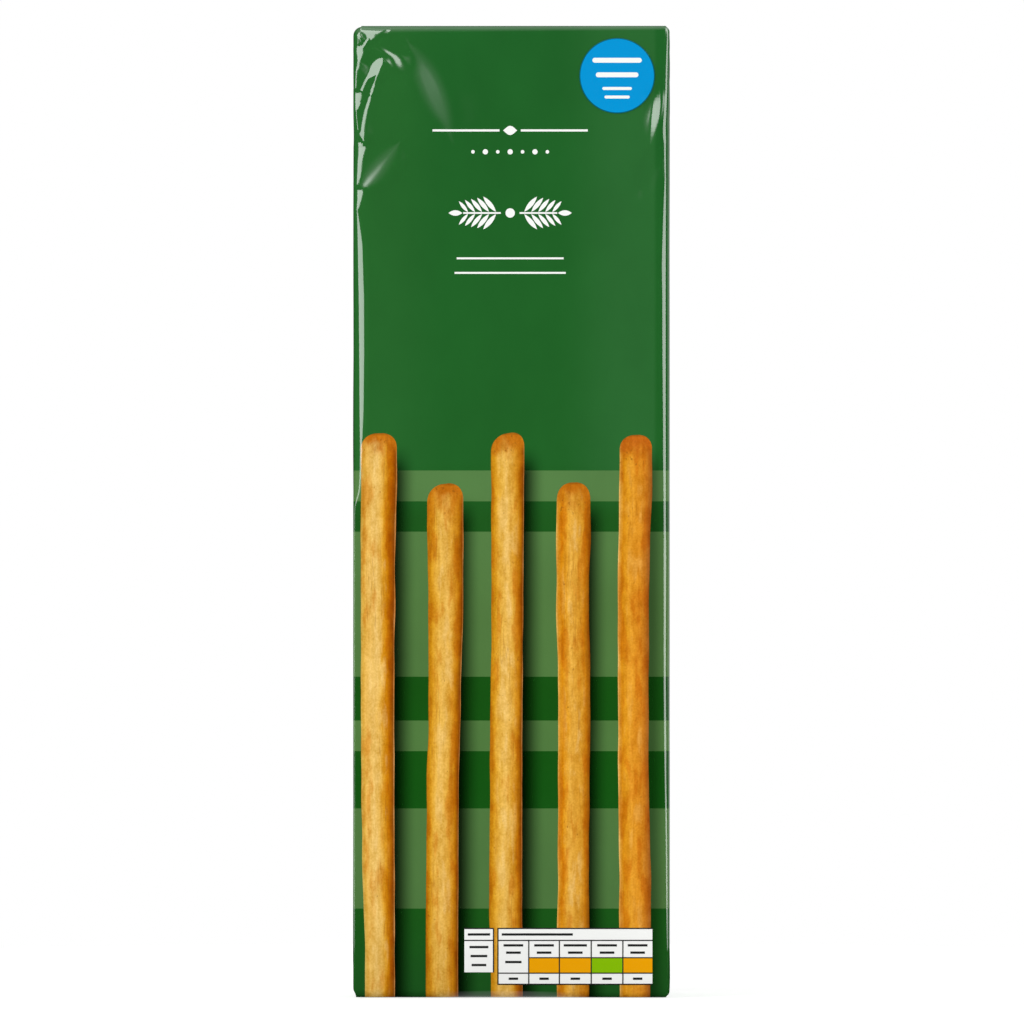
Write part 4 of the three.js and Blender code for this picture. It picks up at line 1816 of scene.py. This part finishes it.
@dataclass(frozen=True)
class FilmFinish:
    """The green printed film."""

    size: PackSize
    shadows: BarShadows  # The bars' printed shadows.
    # The ground's greens, each with its height on Z.
    ground: Stops = (
        (0.0, 28, 82, 30), (18.0, 26, 82, 24), (50.0, 20, 79, 18), (72.0, 22, 77, 18), (112.0, 29, 83, 28),
        (126.0, 31, 92, 36), (227.6, 31, 93, 38),
    )
    lit_left_green: Colour = srgb(37, 97, 41)  # Painted light: the lighter green near the front's left side.
    sheen_right_green: Colour = srgb(43, 101, 48)  # A painted sheen: the lighter green of the front's right third, up to the right bend.
    # The colours of the light bands, each with its height on Z.
    light: Stops = ((32.0, 75, 113, 60), (61.0, 77, 116, 60), (92.0, 77, 114, 60), (120.0, 82, 122, 67))
    # Bottom and top of each light band, on Z.
    bands: tuple[tuple[float, float], ...] = ((21.0, 44.4), (57.8, 64.95), (75.2, 109.1), (116.2, 123.4))
    band_edge: float = 0.1  # Width of a band's soft border.
    # Where the painted light on the left and the painted sheen on the right start and are full, on Z.
    upper: tuple[float, float] = (112.0, 126.0)
    lit_left_fade: tuple[float, float] = (-30.0, -14.0)  # Where the painted light on the left is full and where it ends, on X.
    sheen_right_fade: tuple[float, float] = (10.0, 26.0)  # Where the painted sheen starts and is full, on X.
    sheen_right_stop: tuple[float, float] = (33.0, 34.2)  # Where the painted sheen starts to end and has ended.
    sheen_right_share: float = 0.8  # How strong the painted sheen is.
    shadow_dark: float = 0.07  # What is left of the print's colour where a shadow is deepest.
    end_gloss: float = 0.15  # How much of the gloss is left on the sealed ends.
    end_border: tuple[float, float] = (1.4, 0.6)  # Width of the glossy border of an end, and how soft it is.
    end_depth: tuple[float, float] = (1.0, 0.4)  # How deep the dull end reaches, and how softly it stops.

    def _gloss(self, film: FilmShader) -> Socket:
        """Works out the gloss: full, but for the sealed ends inside their rims, which heat has dulled.

        Args:
            film: The material.

        Returns:
            The gloss's strength.
        """
        x, y, z = film.axes(film.place)
        size, half = self.size, self.size.width / 2
        border, border_soft = self.end_border
        deep, deep_soft = self.end_depth
        spans = (
            (x, -half + border, half - border, border_soft),
            (y, size.front + border, size.back - border, border_soft),
            (z, deep, size.height - deep, deep_soft),
        )
        across, along, body = (
            film.inside(place, low * MM, high * MM, soft * MM) for place, low, high, soft in spans
        )
        at_end = film.product(across, along, film.math("SUBTRACT", 1.0, body))
        return film.ramp(at_end, 0.0, 1.0, 1.0, self.end_gloss)

    def build(self) -> Material:
        """Makes the material.

        Returns:
            The film.
        """
        film = FilmShader("printed_film", mottle=0.22)
        x, _, z = film.axes(film.place)
        film.feed(film.shader.inputs["Coat Weight"], self._gloss(film))
        share = film.math("DIVIDE", z, self.size.height * MM)
        ground, light = (
            film.colours(share, [(low / self.size.height, *colour) for low, *colour in stops])
            for stops in (self.ground, self.light)
        )
        upper = film.ramp_mm(z, *self.upper)
        # Painted light: the upper front is lighter towards its left side.
        left = film.product(film.ramp_mm(x, *self.lit_left_fade, 1.0, 0.0), upper)
        # Painted sheen: the upper front is lighter over its right third.
        stopped = film.ramp_mm(x, *self.sheen_right_stop, 1.0, 0.0)
        right = film.product(film.ramp_mm(x, *self.sheen_right_fade), stopped, upper, self.sheen_right_share)
        ground = film.mix(right, film.mix(left, ground, self.lit_left_green), self.sheen_right_green)
        edge = self.band_edge * MM
        band = film.total(*(film.inside(z, low * MM, high * MM, edge) for low, high in self.bands))
        printed = film.mix(band, ground, light)
        dark = film.mix(1.0, printed, (self.shadow_dark,) * 3 + (1.0,), "MULTIPLY")
        return film.paint(film.mix(self.shadows.mask(film), printed, dark))


@dataclass(frozen=True)
class InkFinish:
    """A flat ink under the film's gloss."""

    name: str
    colour: Colour
    mottle: float = 0.05

    def build(self) -> Material:
        """Makes the ink's material."""
        return FilmShader(self.name, self.mottle).paint(self.colour)


@dataclass(frozen=True)
class BakedFinish:
    """A printed bar: a golden crust, lit from the left, with a toasted top, streaks, cracks and pits."""

    tone: BakedTone  # How deeply it is browned.
    across: Stops  # Its colours from its left side to its right side.
    toast: Colour = srgb(192, 112, 20)  # Its colour at the top.
    cream: Colour = srgb(236, 198, 124)  # The colour of its paler patches.
    crumb: Colour = srgb(138, 80, 18)  # The dark colour of its cracks and pits.
    patch: Colour = (0.86, 0.66, 0.40, 1.0)  # What its browner patches let through.
    # How much the streaks, the blotches and the grain each add to its light and dark.
    shares: tuple[float, float, float] = (0.14, 0.20, 0.16)
    # How bright each channel is where that sum is its middle.
    level: tuple[float, float, float] = (0.92, 0.90, 0.84)
    swing: tuple[float, float, float] = (0.7, 1.0, 1.9)  # How much each channel follows the sum.

    def _patched(self, film: FilmShader, body: Socket, u: Socket) -> Socket:
        """Adds browner patches, mostly towards the bar's sides, and paler ones in its middle.

        Args:
            film: The material.
            body: The colour.
            u: The place across the bar, from 0 to 1.

        Returns:
            The patched colour.
        """
        side = film.math("ABSOLUTE", film.math("SUBTRACT", film.product(u, 2.0), 1.0))
        patches = film.uneven(Uneven.CRUST_PATCHES)
        brown = film.ramp(film.total(patches, film.product(side, 0.14)), 0.55, 0.72, 0.0, 0.9)
        pale = film.product(film.ramp(patches, 0.33, 0.46, 0.4, 0.0), film.ramp(side, 0.3, 0.8, 1.0, 0.0))
        return film.mix(pale, film.mix(brown, body, self.patch, "MULTIPLY"), self.cream)

    def _broken_up(self, film: FilmShader, body: Socket) -> Socket:
        """Varies a colour along the bar: fine streaks over a blotchy, grainy crust.

        Args:
            film: The material.
            body: The colour.

        Returns:
            The varied colour.
        """
        streak = film.ramp(film.uneven(Uneven.CRUST_STREAKS), 0.36, 0.64)
        blotch = film.ramp(film.uneven(Uneven.CRUST_BLOTCHES), 0.3, 0.7)
        grain = film.ramp(film.uneven(Uneven.CRUST_GRAIN), 0.3, 0.7)
        light = film.total(*(film.product(*pair) for pair in zip((streak, blotch, grain), self.shares)))
        off_middle = film.math("SUBTRACT", light, sum(self.shares) / 2)
        channels = (
            film.total(film.product(off_middle, swing), level) for swing, level in zip(self.swing, self.level)
        )
        grey = film.add("ShaderNodeCombineColor", dict(enumerate(channels)))
        return film.mix(1.0, body, grey.outputs[0], "MULTIPLY")

    def _damaged(self, film: FilmShader, body: Socket, v: Socket) -> Socket:
        """Adds lengthwise cracks, in some places only, and small pits, mostly near the top.

        Args:
            film: The material.
            body: The crust's colour.
            v: The place down from the bar's top, in metres.

        Returns:
            The colour with the marks.
        """
        off_vein = film.math("ABSOLUTE", film.math("SUBTRACT", film.uneven(Uneven.CRUST_VEINS), 0.5))
        somewhere = film.ramp(film.uneven(Uneven.CRUST_CRACKED), 0.50, 0.62)
        crack = film.product(film.ramp(off_vein, 0.003, 0.022, 1.0, 0.0), somewhere, 0.3)
        pitted = film.total(film.uneven(Uneven.CRUST_PITS), film.ramp_mm(v, 4.0, 12.0, 0.07, 0.0))
        mark = film.math("MAXIMUM", crack, film.ramp(pitted, 0.71, 0.84, 0.0, 0.6))
        return film.mix(mark, body, self.crumb)

    def build(self) -> Material:
        """Makes the material, which reads the bar's own map.

        Returns:
            The printed crust.
        """
        film = FilmShader(f"printed_crust_{self.tone.value}", mottle=0.04)
        u, v, _ = film.axes(film.add("ShaderNodeUVMap", uv_map=BAR_MAP).outputs[0])
        from_sides = film.product(u, film.math("SUBTRACT", 1.0, u))
        sway = film.product(film.math("SUBTRACT", film.uneven(Uneven.CRUST_DRIFT), 0.5), from_sides, 1.5)
        body = self._patched(film, film.colours(film.total(u, sway), self.across), u)
        ragged = film.product(film.math("SUBTRACT", film.uneven(Uneven.TOAST_EDGE), 0.5), 10 * MM)
        body = film.mix(film.ramp_mm(film.total(v, ragged), 1.0, 7.0, 1.0, 0.0), body, self.toast)
        body = film.mix(film.ramp_mm(v, 0.1, 0.6, 0.6, 0.0), body, self.crumb)
        return film.paint(self._damaged(film, self._broken_up(film, body), v))


CRUSTS = (
    BakedFinish(
        BakedTone.PALE,
        (
            (0.00, 204, 170, 84), (0.08, 214, 165, 64), (0.15, 232, 184, 89), (0.42, 232, 190, 106),
            (0.56, 228, 180, 86), (0.67, 217, 155, 42), (0.77, 200, 128, 13), (0.87, 176, 100, 6),
            (0.960, 140, 78, 14), (0.985, 196, 138, 80),
        ),
    ),
    BakedFinish(
        BakedTone.GOLDEN,
        (
            (0.00, 184, 122, 20), (0.08, 200, 138, 20), (0.16, 220, 160, 42), (0.30, 229, 178, 74),
            (0.50, 229, 181, 87), (0.65, 220, 165, 63), (0.76, 208, 144, 36), (0.86, 188, 118, 12),
            (0.970, 134, 72, 10), (0.990, 180, 122, 66),
        ),
    ),
    BakedFinish(
        BakedTone.RIPE,
        (
            (0.00, 226, 178, 92), (0.05, 212, 146, 40), (0.15, 210, 134, 12), (0.25, 226, 159, 42),
            (0.38, 230, 173, 70), (0.56, 216, 156, 53), (0.75, 211, 148, 42), (0.86, 194, 120, 16),
            (1.00, 136, 78, 12),
        ),
    ),
    BakedFinish(
        BakedTone.DEEP,
        (
            (0.00, 236, 190, 110), (0.05, 214, 152, 56), (0.13, 211, 138, 20), (0.26, 221, 151, 33),
            (0.40, 228, 157, 46), (0.56, 222, 148, 38), (0.70, 214, 138, 34), (0.86, 192, 117, 31),
            (1.00, 150, 88, 34),
        ),
        toast=srgb(190, 100, 22),
        cream=srgb(232, 174, 84),
    ),
)


@dataclass(frozen=True)
class LabelFinish:
    """The label's smooth coated paper, with a thin dark border."""

    middle: Vector  # The label's middle, in metres.
    radius: float  # Its radius, in metres.
    blue: Colour = srgb(3, 142, 204)  # The paper's colour.
    border: Colour = srgb(4, 96, 118)  # The border's colour.
    border_width: float = 0.22 * MM  # The border's width, in metres.
    # How its coating differs from the film's.
    gloss: dict[str, float] = field(default_factory=lambda: {"Coat Weight": 0.4, "Coat Roughness": 0.12})

    def build(self) -> Material:
        """Makes the paper, whose gloss is weaker and softer than the film's.

        Returns:
            The paper.
        """
        paper = FilmShader("label_paper", mottle=0.04)
        away = paper.add("ShaderNodeVectorMath", {0: paper.place, 1: self.middle}, operation="DISTANCE")
        inner, soft = self.radius - self.border_width, 0.03 * MM
        edge = paper.ramp(away.outputs["Value"], inner - soft, inner + soft)
        for name, value in self.gloss.items():
            paper.feed(paper.shader.inputs[name], value)
        return paper.paint(paper.mix(edge, self.blue, self.border))


# ---- Studio ----


@dataclass(frozen=True)
class Lamp:
    """A soft lamp that shapes the matt light and isn't mirrored in the film."""

    name: str
    azimuth: float  # Its bearing from the way the front faces, towards the right, in degrees.
    elevation: float  # Its height above the floor, in degrees.
    power: float  # Its power, in watts.


@dataclass
class Studio:
    """A plain pale floor, soft light, and the camera.

    The film mirrors two tall soft boxes beside the camera, and darkness straight ahead.
    """

    size: PackSize
    distance: float = 2500.0  # From the camera to the front.
    frame_width: float = 239.4  # What the camera sees from side to side, at the front.
    aim_x: float = 0.13  # Where it points, on X.
    aim_z: float = 113.7  # Where it points, on Z.
    sky: float = 0.79  # Brightness of the surroundings in matt light, which fades overhead.
    # Where it starts to fade and where it has faded, as the height of a direction.
    sky_fade: tuple[float, float] = (0.45, 0.95)
    sky_top: float = 0.4  # What is left of it overhead.
    box_light: float = 8.6  # Brightness of the soft boxes.
    veil_light: float = 1.2  # Brightness of the veil round them.
    overhead_light: float = 1.5  # Brightness straight overhead.
    back_light: float = 0.8  # Brightness of the wall behind.
    lamp_distance: float = 2.2  # From the pack to a lamp, in metres.
    lamp_width: float = 1.2  # Width of a lamp, in metres.
    floor_radius: float = 0.3  # Radius of the floor, in metres.
    floor_grey: Colour = (0.5, 0.5, 0.5, 1.0)  # Colour of the floor where light falls on it.
    floor_glow: float = 0.66  # How far it shines by itself to look white.
    lamps: tuple[Lamp, ...] = (
        Lamp("key", -60, 28, 26.0),
        Lamp("fill", 42, 20, 11.0),
        Lamp("rim", 165, 18, 15.0),
    )

    def _camera(self) -> None:
        """Sets the camera in front of the pack, level with its middle."""
        data = bpy.data.cameras.new("camera")
        data.sensor_width = 36.0
        data.lens = data.sensor_width * self.distance / self.frame_width
        data.clip_end = 50.0
        camera = bpy.data.objects.new("camera", data)
        camera.location = Vector((self.aim_x, self.size.front - self.distance, self.aim_z)) * MM
        camera.rotation_euler = (math.pi / 2, 0.0, 0.0)
        bpy.context.scene.collection.objects.link(camera)
        bpy.context.scene.camera = camera

    def _lamps(self) -> None:
        """Hangs the lamps round the pack."""
        target = Vector((0, 0, self.size.height / 2)) * MM
        for lamp in self.lamps:
            azimuth, elevation = math.radians(lamp.azimuth), math.radians(lamp.elevation)
            flat = math.cos(elevation)
            away = Vector((math.sin(azimuth) * flat, -math.cos(azimuth) * flat, math.sin(elevation)))
            data = bpy.data.lights.new(lamp.name, "AREA")
            data.shape = "SQUARE"
            data.size = self.lamp_width
            data.energy = lamp.power
            light = bpy.data.objects.new(lamp.name, data)
            light.location = target + away * self.lamp_distance
            light.rotation_euler = away.to_track_quat("Z", "Y").to_euler()
            light.visible_glossy = False
            light.visible_camera = False
            bpy.context.scene.collection.objects.link(light)

    def _mirrored(self, nodes: Nodes) -> Socket:
        """Works out what the film mirrors: the boxes, a soft overhead, and a dim wall behind, on the right.

        Args:
            nodes: The world's nodes.

        Returns:
            The brightness, by direction.
        """
        x, y, z = nodes.axes(nodes.add("ShaderNodeTexCoord").outputs["Generated"])
        bearing = nodes.math("ARCTAN2", x, nodes.product(y, -1.0))
        either_side = nodes.math("ABSOLUTE", bearing)
        rise = nodes.math("ARCSINE", z)

        def between(angle: Socket, low: float, high: float, soft: float) -> Socket:
            """1 where an angle lies between two others, in degrees."""
            return nodes.inside(angle, math.radians(low), math.radians(high), math.radians(soft))

        tall = nodes.product(between(either_side, 40, 84, 3), between(rise, -10, 60, 4))
        high = nodes.product(between(either_side, 12, 84, 7), between(rise, 7, 60, 5))
        boxes = nodes.product(nodes.math("MAXIMUM", tall, high), self.box_light)
        veil = nodes.product(between(either_side, 8, 90, 12), between(rise, 4, 100, 5), self.veil_light)
        overhead = nodes.ramp(rise, math.radians(18), math.radians(80), 0.0, self.overhead_light)
        behind = nodes.product(between(bearing, 110, 150, 12), between(rise, -10, 60, 6), self.back_light)
        return nodes.total(boxes, veil, overhead, behind)

    def _world(self) -> None:
        """Makes the surroundings: white to look at, even in matt light, and boxes in mirrored light."""
        world = bpy.data.worlds.new("studio")
        world.use_nodes = True
        bpy.context.scene.world = world
        world.cycles.sampling_method = "NONE"
        nodes = Nodes(world.node_tree)
        path = nodes.add("ShaderNodeLightPath").outputs
        seen, glossy = path["Is Camera Ray"], path["Is Glossy Ray"]
        mirrored = nodes.product(glossy, self._mirrored(nodes))
        height = nodes.axes(nodes.add("ShaderNodeTexCoord").outputs["Generated"])[2]
        sky = nodes.ramp(height, *self.sky_fade, self.sky, self.sky * self.sky_top)
        matt = nodes.product(nodes.math("SUBTRACT", 1.0, glossy), sky)
        lit = nodes.product(nodes.math("SUBTRACT", 1.0, seen), nodes.total(mirrored, matt))
        background = nodes.add("ShaderNodeBackground", {"Color": WHITE, "Strength": nodes.total(lit, seen)})
        nodes.add("ShaderNodeOutputWorld", {0: background.outputs[0]})

    def _floor_finish(self) -> Material:
        """Makes the floor's finish, white to look at and darker in other light, with painted shade near the
        pack.

        Returns:
            The finish.
        """
        material = bpy.data.materials.new("floor")
        material.use_nodes = True
        nodes = Nodes(material.node_tree)
        path = nodes.add("ShaderNodeLightPath").outputs
        matt = nodes.add("ShaderNodeBsdfDiffuse", {"Color": self.floor_grey}).outputs[0]
        glow = nodes.add("ShaderNodeEmission", {"Strength": self.floor_glow}).outputs[0]
        looks = nodes.add("ShaderNodeAddShader", {0: matt, 1: glow}).outputs[0]
        place = nodes.add("ShaderNodeTexCoord").outputs["Object"]
        from_pack = nodes.add("ShaderNodeVectorMath", {0: place}, operation="LENGTH").outputs["Value"]
        # Painted contact shade: the floor gives off less light near the pack.
        glow_with_painted_contact_shade = nodes.ramp_mm(from_pack, 25, 85, 0.5, 1.05)
        near_pack = nodes.ramp_mm(from_pack, 17, 24, 1.0, 0.0)
        # Painted reflection: right beside the pack the floor glows for mirrored light only.
        shine = nodes.product(path["Is Glossy Ray"], near_pack)
        matt_share = nodes.product(nodes.math("SUBTRACT", 1.0, path["Is Glossy Ray"]), glow_with_painted_contact_shade)
        gives = nodes.add("ShaderNodeEmission", {"Strength": nodes.total(matt_share, shine)}).outputs[0]
        choice = nodes.add("ShaderNodeMixShader", {0: path["Is Camera Ray"], 1: gives, 2: looks})
        nodes.add("ShaderNodeOutputMaterial", {0: choice.outputs[0]})
        return material

    def _floor(self) -> None:
        """Lays the round floor."""
        bm = bmesh.new()
        bmesh.ops.create_circle(bm, cap_ends=True, segments=64, radius=self.floor_radius)
        mesh = bpy.data.meshes.new("floor")
        bm.to_mesh(mesh)
        bm.free()
        mesh.materials.append(self._floor_finish())
        floor = bpy.data.objects.new("floor", mesh)
        bpy.context.scene.collection.objects.link(floor)

    def build(self) -> None:
        """Sets the whole studio up."""
        self._camera()
        self._lamps()
        self._world()
        self._floor()
        bpy.context.scene.view_settings.view_transform = "Standard"


# ---- The pack ----


def main() -> None:
    """Builds the pack piece by piece, then the studio round it."""
    logging.basicConfig(level=logging.INFO, format="%(name)s: %(message)s")
    size = PackSize.from_frame()
    Studio(size).build()
    wrap = FilmWrap(size, FilmRelief(size))
    film = FilmFinish(size, BarShadows(size)).build()
    white = InkFinish("white_ink", srgb(240, 241, 238)).build()
    dark = InkFinish("dark_ink", srgb(38, 39, 38)).build()
    amber = InkFinish("amber_ink", srgb(232, 159, 5)).build()
    lime = InkFinish("lime_ink", srgb(131, 184, 7)).build()
    wrap.build(film)
    for end in End:
        EndFold(wrap, end).build(film)
    BackSeam(wrap).build(film)
    PrintedBars(wrap).build({crust.tone: crust.build() for crust in CRUSTS})
    Ornament(wrap).build(white)
    PrintedPanel(wrap).build(white, dark, amber, lime)
    low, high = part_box("round_label")
    paper = LabelFinish((low + high) / 2, (high.x - low.x) / 2).build()
    RoundLabel(wrap).build(paper, white)


if __name__ == "__main__":
    main()
